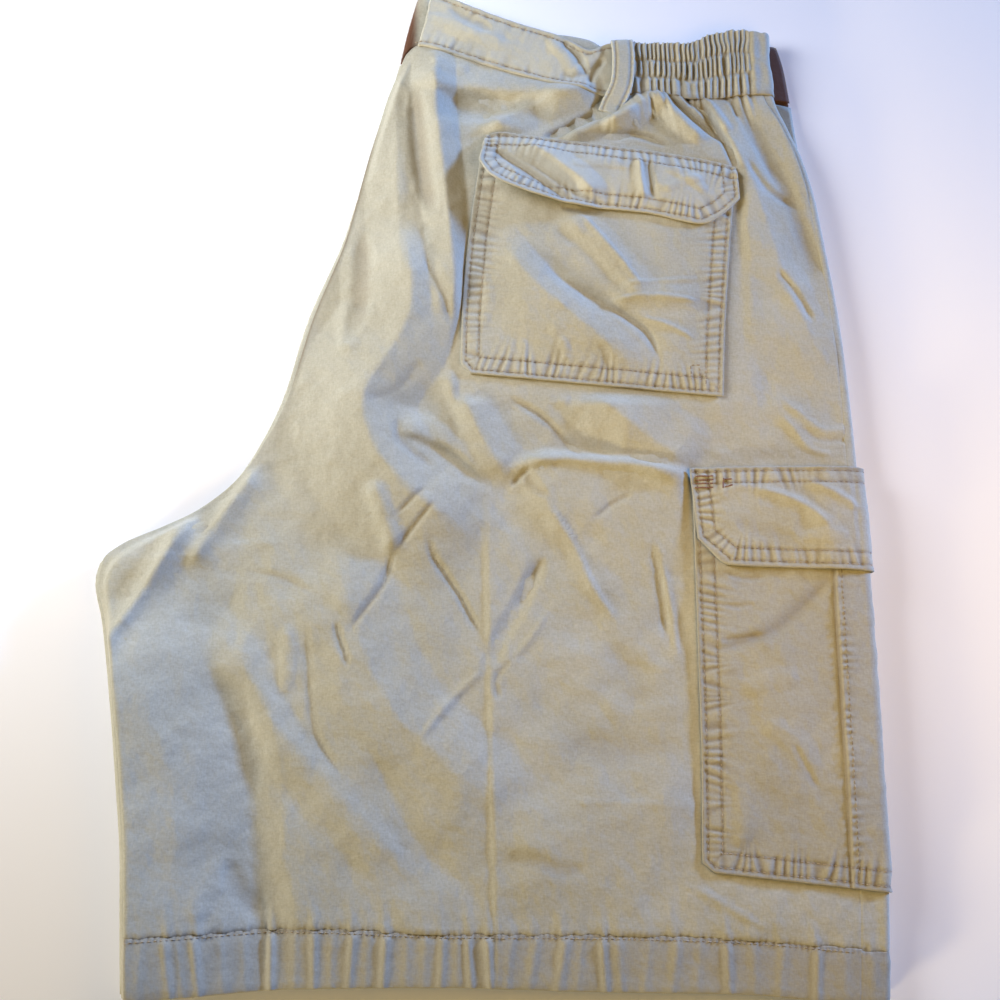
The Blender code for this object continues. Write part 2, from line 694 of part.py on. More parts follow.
def build_back_pocket():
    columns, rows = 13, 13
    edges = [column(BACK_POCKET, "up", key) for key in ("left_x", "left_y", "right_x", "right_y")]

    def place(i, j):
        across, up = i / columns, j / rows
        left_x, left_y, right_x, right_y = [line(up) for line in edges]
        x = mix(left_x, right_x, across)
        y = mix(left_y, right_y, across)
        return x, y, height(x, y) + back_pocket_rise(x, y)
    sheet("back_pocket", columns, rows, place, CLOTH)


def curl_rise(x, y):
    """How far the free corner of the back flap lifts, from a line across its left end."""
    outward = ((5 - x) * 0.55 + (172 - y) * 0.83 + 14) / 34
    return CURL * ease(outward) * ease((46 - x) / 46)


def build_back_flap():
    columns, rows = 18, 6
    edges = [column(BACK_FLAP, "across", key) for key in ("top_x", "top_y", "low_x", "low_y")]

    def place(i, j):
        across, up = i / columns, j / rows
        top_x, top_y, low_x, low_y = [line(across) for line in edges]
        x = mix(low_x, top_x, up)
        y = mix(low_y, top_y, up)
        on_panel = GAP + CLOTH
        on_pocket = back_pocket_rise(x, y) + CLOTH + 2 * GAP
        rise = mix(on_pocket, on_panel, ease((up - 0.75) / 0.25))
        bulge = FLAP_BULGE * math.sin(math.pi * across) * math.sin(math.pi * up)
        return x, y, height(x, y) + rise + bulge + curl_rise(x, y) * (1 - up * up)
    sheet("back_pocket_flap", columns, rows, place, CLOTH, KHAKI_LIGHT)


def cargo_low(x):
    return CARGO_LOW - CARGO_SLOPE * (x - CARGO_LEFT)


def cargo_rise(x, y, pleat_start):
    """Height of the cargo pocket above the leg panel, on top of the leg."""
    across = (x - CARGO_LEFT) / (212 - CARGO_LEFT)
    up = (y - CARGO_LOW) / (CARGO_TOP - CARGO_LOW)
    slack = ease(across / 0.2) * ease((1 - across) / 0.3) * ease(up / 0.15)
    pleat = PLEAT_RISE * ease((x - pleat_start) / (PLEAT_X - pleat_start))
    return GAP + CLOTH + (CARGO_PUFF + folds_at(CARGO, x, y) + pleat) * slack


def build_cargo_pocket():
    rows = 16
    flat_x = [CARGO_LEFT, 123, 134, 145, 156, 167, 178, PLEAT_X - PLEAT_STEP, PLEAT_X, 198]
    runs = arc_runs([], ARC_TUCK)
    columns = len(flat_x) + len(runs) - 1

    def place(i, j):
        up = j / rows
        x = flat_x[i] if i < len(flat_x) else 210.0
        low = cargo_low(x) + (CARGO_CORNER if i == 0 and j == 0 else 0.0)
        y = mix(low, CARGO_TOP, up)
        if i < len(flat_x):
            x = x + (1.5 * ease(up / 0.3) - 1.0 if i == 0 else 0.0)
            return x, y, height(x, y) + cargo_rise(x, y, PLEAT_X - PLEAT_STEP)
        x, z = wrapped(y, runs[i - len(flat_x)], GAP + CLOTH)
        return x, y, z
    sheet("cargo_pocket", columns, rows, place, CLOTH)


def build_cargo_flap():
    rows = 5
    shares = [0.0, 0.1, 0.2, 0.36, 0.52, 0.68, 0.84]
    rise_at_fold = 2 * (GAP + CLOTH) + 0.2
    runs = arc_runs([], ARC_TUCK)
    columns = len(shares) + len(runs) - 1
    edges = [column(CARGO_FLAP, "across", key) for key in ("top_x", "top_y", "low_x", "low_y")]

    def place(i, j):
        up = j / rows
        share = shares[i] if i < len(shares) else 1.0
        top_x, top_y, low_x, low_y = [line(share) for line in edges]
        x = mix(low_x, top_x, up)
        y = mix(low_y, top_y, up)
        if i < len(shares):
            bulge = 0.6 * FLAP_BULGE * math.sin(math.pi * share) * math.sin(math.pi * up)
            return x, y, height(x, y) + cargo_rise(x, y, PLEAT_X - 16) + CLOTH + GAP + 0.3 + bulge
        x, z = wrapped(y, runs[i - len(shares)], rise_at_fold)
        return x, y, z
    sheet("cargo_pocket_flap", columns, rows, place, CLOTH, KHAKI_LIGHT)


def main():
    for item in list(bpy.data.objects):
        bpy.data.objects.remove(item, do_unlink=True)
    parts = bpy.data.collections.new("cargo_shorts")
    bpy.context.scene.collection.children.link(parts)
    build_back_panel()
    build_front_panel()
    build_hems()
    build_hidden()
    build_waistband_back()
    build_waistband_side()
    build_belt_loop()
    build_back_pocket()
    build_back_flap()
    build_cargo_pocket()
    build_cargo_flap()


main()
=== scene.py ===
"""Cargo shorts, folded in half lengthwise and laid flat: the cloth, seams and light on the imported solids.

Sizes are millimetres in the part's own frame: +Y from hem to waist, +X from the inseam to the side fold and
+Z up. The cloth of the top leg is worked out on an unrolled plane, where x runs on past the side fold, and is
then rolled over the fold, so pockets, seams and stitches follow it round.
"""
from __future__ import annotations

import logging
import math
from dataclasses import dataclass, field
from enum import Enum
from typing import Callable, ClassVar

import bpy
import numpy as np
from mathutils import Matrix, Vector


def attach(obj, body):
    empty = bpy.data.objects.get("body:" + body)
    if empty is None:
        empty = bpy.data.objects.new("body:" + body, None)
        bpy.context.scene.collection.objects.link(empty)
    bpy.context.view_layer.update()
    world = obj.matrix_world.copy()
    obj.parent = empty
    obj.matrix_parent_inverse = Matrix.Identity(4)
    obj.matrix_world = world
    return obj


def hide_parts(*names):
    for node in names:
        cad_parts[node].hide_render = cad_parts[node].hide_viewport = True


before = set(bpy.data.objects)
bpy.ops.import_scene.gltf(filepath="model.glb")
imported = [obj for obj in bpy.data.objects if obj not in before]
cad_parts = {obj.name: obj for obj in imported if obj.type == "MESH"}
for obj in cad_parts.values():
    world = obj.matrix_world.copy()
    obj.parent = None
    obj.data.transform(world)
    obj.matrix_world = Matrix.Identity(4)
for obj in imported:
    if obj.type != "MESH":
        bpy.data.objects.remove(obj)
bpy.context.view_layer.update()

LOG = logging.getLogger("cargo_shorts")
MM = 0.001
Array = np.ndarray
Point = tuple[float, float]
Look = tuple[Array, Array, Array]       # height, how worn pale, and how much painted shade darkens it, at each place

# ---- the folded garment, as its solids have it ----

CLOTH = 1.2             # wall of one layer of twill
DOUBLED = 1.9           # wall of a hem or waistband, two layers sewn flat
GAP = 0.4               # between pieces that lie on or beside each other
SEAM_GAP = 0.7          # under the waistband
BAND_RISE = 0.8         # how far the waistband stands above the leg
HEM_RISE = 0.6          # how far the turned hem stands above the leg
FOLD_RADIUS = 3.2       # of the top layer where it rolls over the side fold
TUCK = 8.0              # how far the panels run back in under the side fold
ARC_TUCK = 2.0          # how far a pocket does
PLATEAU = 13.2          # height of the middle of the leg
INSEAM_HEIGHT = 10.8    # height along the inseam and rise
HEM_DROP = 1.8          # how much lower the stack is at the hem
HEM_Y = -289.0
LEFT_ROLL = 42.0        # width over which the leg falls to the inseam
RIGHT_ROLL = 60.0       # width over which it meets the side fold
POCKET_SWELL = 2.8      # how far the leg stands up under the back pocket
CREST_RADIUS = 0.9      # how far from its line a crease is rounded
ELASTIC_START = 77.4
ELASTIC_END = 158.0
ARC_COLUMNS = 24        # cells across the narrow pieces that roll over the side fold

# y, hidden layers' left and right edge, top layer's left and right edge, height of the side fold's middle
SECTIONS = (
    (-291, -184.0, 206.0, -181.5, 206.0, 9.0), (-258, -186.5, 208.5, -183.0, 208.5, 9.2),
    (-235, -188.0, 209.5, -184.5, 209.5, 9.8), (-220, -189.0, 210.0, -185.5, 209.5, 10.8),
    (-180, -194.0, 210.0, -190.0, 209.3, 11.2), (-138, -200.0, 210.0, -196.5, 209.3, 11.2),
    (-96, -207.0, 210.0, -203.5, 209.0, 11.2), (-74, -212.0, 210.0, -208.0, 208.8, 11.2),
    (-63, -209.5, 209.8, -206.5, 208.5, 11.2), (-55, -199.0, 209.5, -197.5, 208.2, 11.2),
    (-44, -175.0, 209.3, -173.0, 208.0, 11.2), (-36, -159.0, 209.1, -157.0, 207.8, 11.2),
    (-18, -138.0, 208.6, -135.5, 207.0, 10.8), (5, -124.0, 207.5, -120.5, 206.5, 9.8),
    (28, -114.0, 206.0, -110.0, 205.6, 9.4), (76, -101.0, 203.0, -96.5, 202.4, 9.4),
    (125, -82.0, 196.8, -79.0, 196.3, 9.4), (150, -75.0, 193.4, -73.0, 192.8, 9.4),
    (176, -68.0, 188.0, -67.0, 186.4, 9.4), (195, -62.8, 185.0, -62.0, 179.0, 9.6),
    (213, -58.0, 183.0, -57.2, 172.4, 9.8), (238, -51.5, 180.0, -48.5, 170.6, 9.8),
    (262, -46.5, 174.0, -41.0, 169.5, 9.8), (292, -39.0, 167.0, -35.5, 165.0, 9.6),
)
# x, lower edge of the hem, its stitch line
HEM = (
    (-190, -287.0, -258.0), (-150, -285.0, -256.0), (-90, -282.0, -254.0), (-20, -281.5, -256.5),
    (60, -283.5, -257.0), (130, -284.5, -259.0), (172, -287.5, -262.0), (212, -289.0, -266.0),
)
# x, seam under the waistband, top of the waistband, top of the band behind it
WAIST = (
    (-60, 233.0, 293.0, 293.5), (-49, 241.0, 291.0, 292.3), (-40, 249.0, 288.0, 289.0),
    (-26, 245.0, 282.0, 281.0), (1, 235.0, 269.0, 268.0), (21, 228.5, 261.0, 261.5),
    (35, 224.0, 256.5, 260.0), (50, 219.5, 250.5, 258.5), (63, 215.5, 243.5, 255.5),
    (75, 214.5, 248.0, 248.5), (92, 216.0, 248.5, 246.0), (110, 215.0, 248.0, 246.0),
    (124, 212.0, 249.0, 247.0), (136, 212.5, 254.5, 252.0), (153, 215.0, 257.0, 254.5),
    (166, 215.5, 255.5, 253.5), (190, 211.0, 250.0, 250.0),
)
# y, how far the side seam lies in from the side fold
SIDE_SEAM = ((-291, 15.0), (-234, 15.5), (-100, 9.0), (60, 5.0), (190, 4.4), (215, 7.0))


class Curve:
    """A smooth line through a table's rows that never swings past them."""

    def __init__(self, places: list[float], values: list[float]) -> None:
        """Work out the slope at each row.

        Args:
            places: where the rows lie, rising.
            values: the value at each of them.
        """
        self.x = np.array(places, dtype=float)
        self.y = np.array(values, dtype=float)
        step = np.diff(self.x)
        slope = np.diff(self.y) / step
        tangent = np.zeros(len(self.x))
        for i in range(1, len(self.x) - 1):
            if slope[i - 1] * slope[i] > 0:
                before = 2 * step[i] + step[i - 1]
                after = step[i] + 2 * step[i - 1]
                tangent[i] = (before + after) / (before / slope[i - 1] + after / slope[i])
        tangent[0] = slope[0]
        tangent[-1] = slope[-1]
        self.tangent = tangent

    def __call__(self, at: Array | float) -> Array:
        """The line's value at each place, held beyond its ends."""
        at = np.clip(at, self.x[0], self.x[-1])
        i = np.clip(np.searchsorted(self.x, at, side="right") - 1, 0, len(self.x) - 2)
        width = self.x[i + 1] - self.x[i]
        f = (at - self.x[i]) / width
        return (
            (1 + 2 * f) * (1 - f) ** 2 * self.y[i] + f * (1 - f) ** 2 * width * self.tangent[i]
            + f * f * (3 - 2 * f) * self.y[i + 1] + f * f * (f - 1) * width * self.tangent[i + 1]
        )


def column(rows: tuple, value: int) -> Curve:
    """The smooth line of one column of a table, over its first column."""
    return Curve([row[0] for row in rows], [row[value] for row in rows])


def mix(a: Array | float, b: Array | float, share: Array | float) -> Array:
    """A value between a and b."""
    return a + (b - a) * share


def ease(value: Array | float) -> Array:
    """0 below 0, 1 above 1, and smooth between."""
    value = np.clip(value, 0.0, 1.0)
    return value * value * (3 - 2 * value)


def inside(value: Array, low: float, high: float, soft: float) -> Array:
    """1 well inside a range and 0 outside it, with soft ends."""
    return ease((value - low) / soft + 0.5) * ease((high - value) / soft + 0.5)


def bell(value: Array, width: float) -> Array:
    """1 at 0, and falling away over a width on both sides."""
    return np.exp(-((value / width) ** 2))


def shares(columns: int, rows: int) -> tuple[Array, Array]:
    """Shares across and up a grid, rows by columns."""
    return np.meshgrid(np.linspace(0, 1, columns + 1), np.linspace(0, 1, rows + 1))


def wave(turns: Array) -> Array:
    """The height of a wave, from -1 to 1, after so many turns."""
    return np.sin(2 * math.pi * turns)


def uneven(at: Array, step: float, seed: int) -> Array:
    """Smooth uneven values along a line.

    Args:
        at: places along the line.
        step: from one new value to the next.
        seed: for the values.
    Returns:
        A value from -1 to 1 at each place.
    """
    table = np.random.default_rng(seed).uniform(-1, 1, 512)
    place = np.asarray(at, dtype=float) / step + 128
    i = np.floor(place).astype(int)
    return mix(table[i % 512], table[(i + 1) % 512], ease(place - i))


def rumple(x: Array, y: Array, step: float, seed: int) -> Array:
    """Smooth uneven values over the cloth.

    Args:
        x: places on the unrolled cloth.
        y: places on the unrolled cloth.
        step: from one new value to the next, both ways.
        seed: for the values.
    Returns:
        A value from -1 to 1 at each place.
    """
    table = np.random.default_rng(seed).uniform(-1, 1, (128, 128))
    u, v = np.asarray(x) / step + 64.37, np.asarray(y) / step + 64.71
    i, j = np.floor(u).astype(int), np.floor(v).astype(int)
    a, b = ease(u - i), ease(v - j)
    low = mix(table[i % 128, j % 128], table[(i + 1) % 128, j % 128], a)
    high = mix(table[i % 128, (j + 1) % 128], table[(i + 1) % 128, (j + 1) % 128], a)
    return mix(low, high, b)


def crinkle(x: Array, y: Array, seed: int) -> Array:
    """The fine unevenness of a small piece of cloth, which never sinks far into what it lies on."""
    return np.maximum(0.34 * rumple(x, y, 9, seed) + 0.16 * rumple(x, y, 4.6, seed + 2), -0.18)


def through(a: Array, b: Array, c: Array, d: Array, t: Array | float) -> Array:
    """Places at shares t of the way from b to c, on a smooth curve through four points."""
    bend = (2 * a - 5 * b + 4 * c - d) * t * t
    return 0.5 * (2 * b + (c - a) * t + bend + (3 * b - a - 3 * c + d) * t ** 3)


class Track:
    """A path over the cloth, with the distance from it and the way along it."""

    def __init__(self, points: tuple[Point, ...] | Array, smooth: bool = True) -> None:
        """Lay the path through its points.

        Args:
            points: places on the unrolled cloth.
            smooth: a curve through them, and straight runs where it is False.
        """
        p = np.array(points, dtype=float)
        if smooth:
            p = self.curved(p)
        self.points = p
        self.start = p[:-1]
        self.run = p[1:] - p[:-1]
        self.steps = np.hypot(self.run[:, 0], self.run[:, 1])
        self.before = np.concatenate(([0.0], np.cumsum(self.steps)))
        self.length = float(self.before[-1])

    @staticmethod
    def curved(p: Array, per_span: int = 6) -> Array:
        """Draw a smooth curve.

        Args:
            p: the points that it goes through.
            per_span: how many points it has for each of them.
        Returns:
            The curve's points.
        """
        p = np.vstack((2 * p[0] - p[1], p, 2 * p[-1] - p[-2]))
        t = (np.arange(per_span) / per_span)[:, None]
        spans = [through(*four, t) for four in zip(p, p[1:], p[2:], p[3:])]
        return np.vstack(spans + [p[-2:-1]])

    def near(self, x: Array, y: Array, reach: float) -> tuple[Array, Array, Array, Array]:
        """Measure from the path.

        Args:
            x: places on the unrolled cloth.
            y: places on the unrolled cloth.
            reach: how far from the path matters.
        Returns:
            The places within reach, their distance, above 0 on the path's left, the length of path before
            them, and how far round its ends they lie.
        """
        low, high = self.points.min(0) - reach, self.points.max(0) + reach
        found = np.flatnonzero((x > low[0]) & (x < high[0]) & (y > low[1]) & (y < high[1]))
        best = np.full(len(found), np.inf)
        side, along = np.zeros(len(found)), np.zeros(len(found))
        px, py = x[found], y[found]
        for k, (start, run) in enumerate(zip(self.start, self.run)):
            ox, oy = px - start[0], py - start[1]
            share = np.clip((ox * run[0] + oy * run[1]) / (run @ run), 0, 1)
            dx, dy = ox - run[0] * share, oy - run[1] * share
            away = np.hypot(dx, dy)
            closer = away < best
            best = np.where(closer, away, best)
            side = np.where(closer, np.sign(run[0] * dy - run[1] * dx), side)
            along = np.where(closer, self.before[k] + share * self.steps[k], along)
        keep = best < reach
        return found[keep], (best * np.where(side < 0, -1, 1))[keep], along[keep], best[keep]

    def at(self, along: Array) -> tuple[Array, Array]:
        """Places and directions at lengths along the path."""
        k = np.clip(np.searchsorted(self.before, along, side="right") - 1, 0, len(self.start) - 1)
        share = (along - self.before[k]) / self.steps[k]
        return self.start[k] + self.run[k] * share[:, None], self.run[k] / self.steps[k][:, None]

    def inset(self, distance: float) -> "Track":
        """The same path moved to its left, with its corners kept."""
        way = self.run / self.steps[:, None]
        left = np.stack((-way[:, 1], way[:, 0]), 1)
        first, last = np.vstack((left[:1], left)), np.vstack((left, left[-1:]))
        mitre = (first + last) / (1 + (first * last).sum(1))[:, None]
        return Track(self.points + mitre * distance, smooth=False)


class Crest(Enum):
    """How a fold's top or bottom is shaped."""

    SHARP = "creased"
    ROUND = "soft"
    PLANE = "flat-sided"


@dataclass(frozen=True)
class Fold:
    """A ridge in the cloth, or a hollow where its height is below 0."""

    height: float
    left: float             # how far it reaches on the left of its path
    right: float            # how far on the right
    crest: Crest
    path: tuple[Point, ...]
    almond: bool = True     # narrower at its ends

    tip: ClassVar[float] = 0.35     # width of an almond's ends, as a share of its middle
    taper: ClassVar[float] = 0.2    # share of its length over which each end rises

    def relief(self, x: Array, y: Array) -> Array:
        """What the fold adds to the height of each place."""
        total = np.zeros(len(x))
        track = Track(self.path)
        found, side, along, away = track.near(x, y, max(self.left, self.right))
        place = along / track.length
        width = np.where(side > 0, self.left, self.right)
        if self.almond:
            belly = np.sin(math.pi * np.clip(place, 0, 1)) ** 0.6
            width = width * (self.tip + (1 - self.tip) * belly)
        away, width = (np.hypot(size, CREST_RADIUS) - CREST_RADIUS for size in (away, width))
        reach = np.clip(away / width, 0, 1)
        if self.crest is Crest.ROUND:
            profile = 0.5 + 0.5 * np.cos(math.pi * reach)
        elif self.crest is Crest.SHARP:
            profile = (1 - reach) ** 2
        else:
            profile = 1 - reach
        ends = ease(place / self.taper) * ease((1 - place) / self.taper)
        total[found] = self.height * ends * profile
        return total


SOFT, SHARP, PLANE = Crest.ROUND, Crest.SHARP, Crest.PLANE


def even_fold(height: float, left: float, right: float, crest: Crest, path: tuple[Point, ...]) -> Fold:
    """A fold that is as wide at its ends as in its middle."""
    return Fold(height, left, right, crest, path, almond=False)


# Large folds, which give the leg and its pockets their form: height, width on the left and right, crest, path
LEG_FOLDS = (
    even_fold(4.2, 26, 20, PLANE, ((-52, 252), (-51, 193), (-50, 154), (-48, 123), (-45, 87))),
    even_fold(10.2, 29, 42, PLANE, ((-46, 139), (-42, 110), (-40, 87), (-44, 67), (-52, 53), (-61, 39),
        (-66, 26), (-64, 11), (-56, -6), (-42, -23), (-21, -40), (5, -61))),
    even_fold(14.0, 66, 13, PLANE, ((-204, -80), (-198, -112), (-192, -139), (-187, -170), (-183, -205),
        (-178, -261), (-172, -329))),
    even_fold(-3.6, 18, 36, PLANE, ((-130, -30), (-131, -55), (-136, -85), (-147, -109), (-143, -127),
        (-132, -147), (-124, -170), (-121, -200), (-119, -225), (-110, -254), (-105, -292))),
    even_fold(2.4, 14, 20, SOFT, ((-140, -91), (-131, -112), (-112, -149), (-85, -180), (-59, -207),
        (-36, -238))),
    even_fold(4.9, 12, 12, SHARP, ((-155, -33), (-163, -47), (-173, -65), (-185, -86), (-198, -108),
        (-206, -124))),
    even_fold(3.9, 15, 12, SHARP, ((-122, -9), (-131, -23), (-140, -36), (-151, -53), (-159, -70))),
    even_fold(-1.8, 40, 16, SHARP, ((-60, -159), (-49, -183), (-37, -205), (-22, -223), (-2, -236),
        (6, -243))),
    even_fold(4.8, 28, 46, PLANE, ((-84, -47), (-76, -74), (-68, -99), (-58, -125), (-42, -150),
        (-22, -168), (-1, -187), (12, -205))),
    even_fold(1.1, 16, 3, SHARP, ((3, -9), (3, -63), (4, -107), (5, -139), (6, -190), (8, -259),
        (9, -329))),
    even_fold(7.0, 12, 15, PLANE, ((-30, 259), (-27, 199), (-23, 161), (-19, 126), (-15, 93), (-13, 55))),
    even_fold(5.5, 25, 22, PLANE, ((54, 44), (65, 27), (81, 13), (100, -2), (119, -15))),
    even_fold(4.2, 15, 10, PLANE, ((-19, 45), (-11, 29), (-4, 11), (6, -5), (17, -20))),
    even_fold(2.6, 16, 6, SOFT, ((-48, 10), (-32, 6), (-16, -1), (-4, -11), (6, -21))),
    even_fold(2.9, 7, 5, SOFT, ((14, -14), (26, -9), (44, -7), (65, -10), (87, -13), (111, -21))),
    even_fold(3.4, 8, 58, SOFT, ((12, -18), (32, -11), (65, -11), (92, -15), (131, -24))),
    even_fold(6.0, 10, 13, PLANE, ((-2, 185), (12, 197), (33, 208), (54, 215), (71, 218))),
    even_fold(-4.4, 13, 15, SOFT, ((-32, 207), (-8, 207), (21, 204), (45, 210))),
    even_fold(2.3, 14, 7, SOFT, ((-48, 227), (-26, 220), (3, 218), (33, 216), (63, 215))),
    even_fold(1.6, 10, 14, SOFT, ((157, 31), (171, 22), (183, 13), (196, 8), (211, 11))),
    even_fold(-1.7, 7, 7, SOFT, ((34, -61), (27, -73), (19, -90), (9, -107), (4, -126))),
    even_fold(2.9, 9, 6, SOFT, ((-62, -20), (-57, -33), (-52, -47), (-48, -62))),
    even_fold(3.2, 26, 6, SOFT, ((-152, -40), (-176, -52), (-198, -67), (-203, -85), (-202, -107))),
    even_fold(2.8, 28, 40, PLANE, ((6, -216), (30, -214), (56, -204), (82, -194), (116, -190))),
)
POCKET_FOLDS = (
    even_fold(4.0, 13, 32, PLANE, ((4, 126), (26, 97), (54, 71), (78, 49), (91, 28))),
    even_fold(-2.2, 16, 8, SHARP, ((29, 115), (47, 95), (67, 82), (82, 73), (95, 60), (101, 43))),
    even_fold(2.0, 12, 10, SOFT, ((44, 138), (61, 123), (82, 99), (95, 85))),
    even_fold(1.6, 10, 10, SOFT, ((68, 83), (94, 87), (128, 86))),
)
CARGO_FOLDS = (
    even_fold(1.4, 26, 26, SOFT, ((152, -90), (158, -140), (150, -196))),
)

# Finer creases of the leg, which only the cloth has
LEG_CREASES = (
    even_fold(-1.2, 8, 6, SOFT, ((151, 215), (156, 194), (165, 174), (176, 153), (183, 128), (193, 93))),
    even_fold(1.0, 7, 14, SOFT, ((160, 220), (171, 201), (182, 182), (189, 160), (193, 141))),
    even_fold(0.8, 3.8, 3.8, SHARP, ((163, 29), (177, 18), (190, 9), (208, 11))),
    even_fold(0.8, 3.2, 3.8, SHARP, ((164, 20), (173, 9), (182, -2), (197, -5))),
    Fold(-0.7, 3.2, 3.2, SHARP, ((175, 13), (187, 4), (206, 4))),
    even_fold(-4.2, 4, 5, SHARP, ((128, 214), (133, 199), (142, 181), (148, 163))),
    Fold(5.8, 9, 11, PLANE, ((68, 190), (85, 201), (99, 211), (109, 216))),
    Fold(3.6, 7, 8, PLANE, ((104, 216), (109, 206), (118, 193), (130, 182))),
    Fold(-3.5, 4.3, 4.8, SHARP, ((108, 215), (118, 204), (130, 193), (140, 182))),
    Fold(-2.2, 3.1, 3.1, SHARP, ((119, 215), (125, 207), (136, 201))),
    Fold(2.0, 5, 6, SOFT, ((128, 215), (135, 204), (145, 189))),
    Fold(-1.9, 3.1, 3.1, SHARP, ((97, 215), (99, 206), (101, 197))),
    Fold(-1.3, 3.1, 3.1, SHARP, ((141, 215), (147, 208), (150, 199))),
    Fold(-4.8, 5, 5, SHARP, ((33, 186), (45, 190), (60, 198), (76, 204), (82, 210))),
    Fold(-2.6, 3.8, 3.8, SHARP, ((63, 204), (69, 210), (72, 215))),
    Fold(3.8, 7, 7, PLANE, ((45, 184), (62, 190), (81, 197), (92, 204))),
    Fold(-2.1, 3.2, 3.2, SHARP, ((74, 184), (88, 188), (110, 180))),
    Fold(1.1, 6, 6, SOFT, ((-32, 237), (-20, 231), (-8, 232))),
    Fold(-1.9, 8, 8, SOFT, ((-40, 223), (-39, 197), (-35, 163), (-28, 133))),
    even_fold(-1.2, 5.8, 3.8, SHARP, ((-34, 113), (-27, 97), (-21, 83), (-18, 68))),
    Fold(-0.6, 7, 6, SHARP, ((-68, 28), (-56, 27), (-44, 35), (-33, 51))),
    Fold(-1.1, 3.8, 5.1, SHARP, ((-47, 16), (-46, 4), (-39, -4), (-26, -13))),
    Fold(-1.5, 9, 9, SOFT, ((-70, 132), (-69, 110), (-70, 84), (-76, 57))),
    Fold(1.0, 10, 10, SOFT, ((-79, 51), (-75, 68), (-78, 87))),
    Fold(-1.3, 2.6, 3.8, SHARP, ((11, 29), (25, 22), (37, 13), (49, -1), (60, -9))),
    Fold(-1.5, 3.2, 3.2, SHARP, ((16, -22), (23, -15), (26, -12))),
    Fold(-1.3, 3.2, 3.8, SHARP, ((24, -14), (27, -21), (36, -29))),
    Fold(1.2, 6, 6, SOFT, ((32, 33), (39, 28), (49, 25))),
    Fold(1.4, 1.9, 7.7, SHARP, ((35, -30), (41, -41), (51, -57), (60, -78), (75, -100))),
    Fold(-0.9, 3.8, 1.9, SHARP, ((82, -27), (70, -33), (60, -41))),
    Fold(1.1, 3.2, 5.1, SHARP, ((97, -63), (100, -80), (103, -97), (104, -117))),
    Fold(-1.1, 3.2, 4.5, SHARP, ((91, -52), (96, -77), (99, -107))),
    Fold(-1.4, 3.2, 3.8, SHARP, ((-47, -57), (-54, -77), (-64, -92), (-73, -105))),
    Fold(-1.1, 2.6, 3.2, SHARP, ((-46, -39), (-39, -32), (-31, -24))),
    Fold(-1.3, 4.2, 5.0, SHARP, ((34, -61), (27, -73), (19, -90))),
    Fold(-1.3, 3.2, 3.2, SHARP, ((-49, -61), (-42, -52), (-33, -41), (-25, -31))),
    Fold(-1.4, 2.6, 3.2, SHARP, ((-30, -46), (-27, -61), (-14, -81), (1, -107))),
    Fold(1.1, 3.2, 3.8, SHARP, ((2, -122), (-11, -133), (-21, -144), (-34, -161))),
    Fold(-0.6, 3.2, 3.2, SHARP, ((-123, -69), (-105, -75), (-90, -82))),
    Fold(-1.2, 2.6, 3.2, SHARP, ((-79, -96), (-75, -109), (-70, -122))),
    Fold(-0.7, 3.2, 3.8, SHARP, ((-94, -94), (-92, -124), (-88, -154), (-78, -172), (-68, -182))),
    Fold(1.1, 7, 7, SOFT, ((-105, -96), (-103, -117), (-105, -139))),
    Fold(-0.9, 3.2, 3.2, SHARP, ((9, -139), (7, -128), (15, -117))),
    Fold(0.9, 3.8, 3.8, SHARP, ((16, -117), (25, -107), (35, -92))),
    Fold(0.4, 3, 4, SHARP, ((41, -191), (61, -191), (82, -191), (103, -193))),
    Fold(-0.7, 7, 7, SOFT, ((11, -218), (25, -219), (40, -224), (56, -225))),
    Fold(0.8, 8, 9, SOFT, ((-148, -252), (-144, -242), (-138, -230), (-134, -215))),
    Fold(-0.9, 7, 8, SOFT, ((-132, -218), (-124, -235), (-114, -250))),
    Fold(0.5, 12, 12, SOFT, ((62, -139), (83, -147), (109, -142))),
    Fold(-0.6, 12, 12, SOFT, ((41, -159), (72, -165), (109, -161))),
    Fold(-0.5, 12, 12, SOFT, ((68, -107), (80, -128), (83, -149))),
    Fold(0.6, 2.5, 4, SHARP, ((100, -230), (115, -236), (132, -246), (151, -256))),
    Fold(-0.7, 1.8, 1.8, SHARP, ((74, 201), (74, 194), (73, 186))),
    even_fold(3.4, 14, 34, PLANE, ((137, 206), (149, 174), (159, 145), (166, 120), (173, 93), (186, 60),
        (201, 34))),
    Fold(-1.5, 4, 6, SHARP, ((152, 174), (165, 154), (184, 143))),
    Fold(-1.6, 3.5, 6, SHARP, ((167, 105), (179, 87), (188, 71))),
)
POCKET_CREASES = (
    even_fold(-1.1, 3, 5, SHARP, ((41, 101), (66, 84), (78, 76), (93, 64), (100, 44))),
    Fold(1.0, 3, 5, SHARP, ((53, 139), (67, 122), (81, 104), (91, 89))),
    Fold(0.9, 3, 4, SHARP, ((69, 83), (94, 86), (125, 83))),
    Fold(0.8, 3, 4, SHARP, ((88, 74), (104, 69), (119, 61))),
    Fold(0.7, 3, 4, SHARP, ((77, 93), (100, 95), (123, 97))),
    Fold(-0.8, 3, 4, SHARP, ((44, 141), (55, 138), (69, 136))),
    Fold(0.5, 5, 5, SOFT, ((0, 103), (3, 85), (0, 67))),
    Fold(0.6, 4, 4, SOFT, ((21, 61), (23, 54), (22, 48))),
    Fold(0.6, 4, 4, SOFT, ((43, 62), (46, 54), (46, 47))),
    Fold(-0.6, 4, 4, SOFT, ((65, 58), (69, 50), (69, 43))),
)
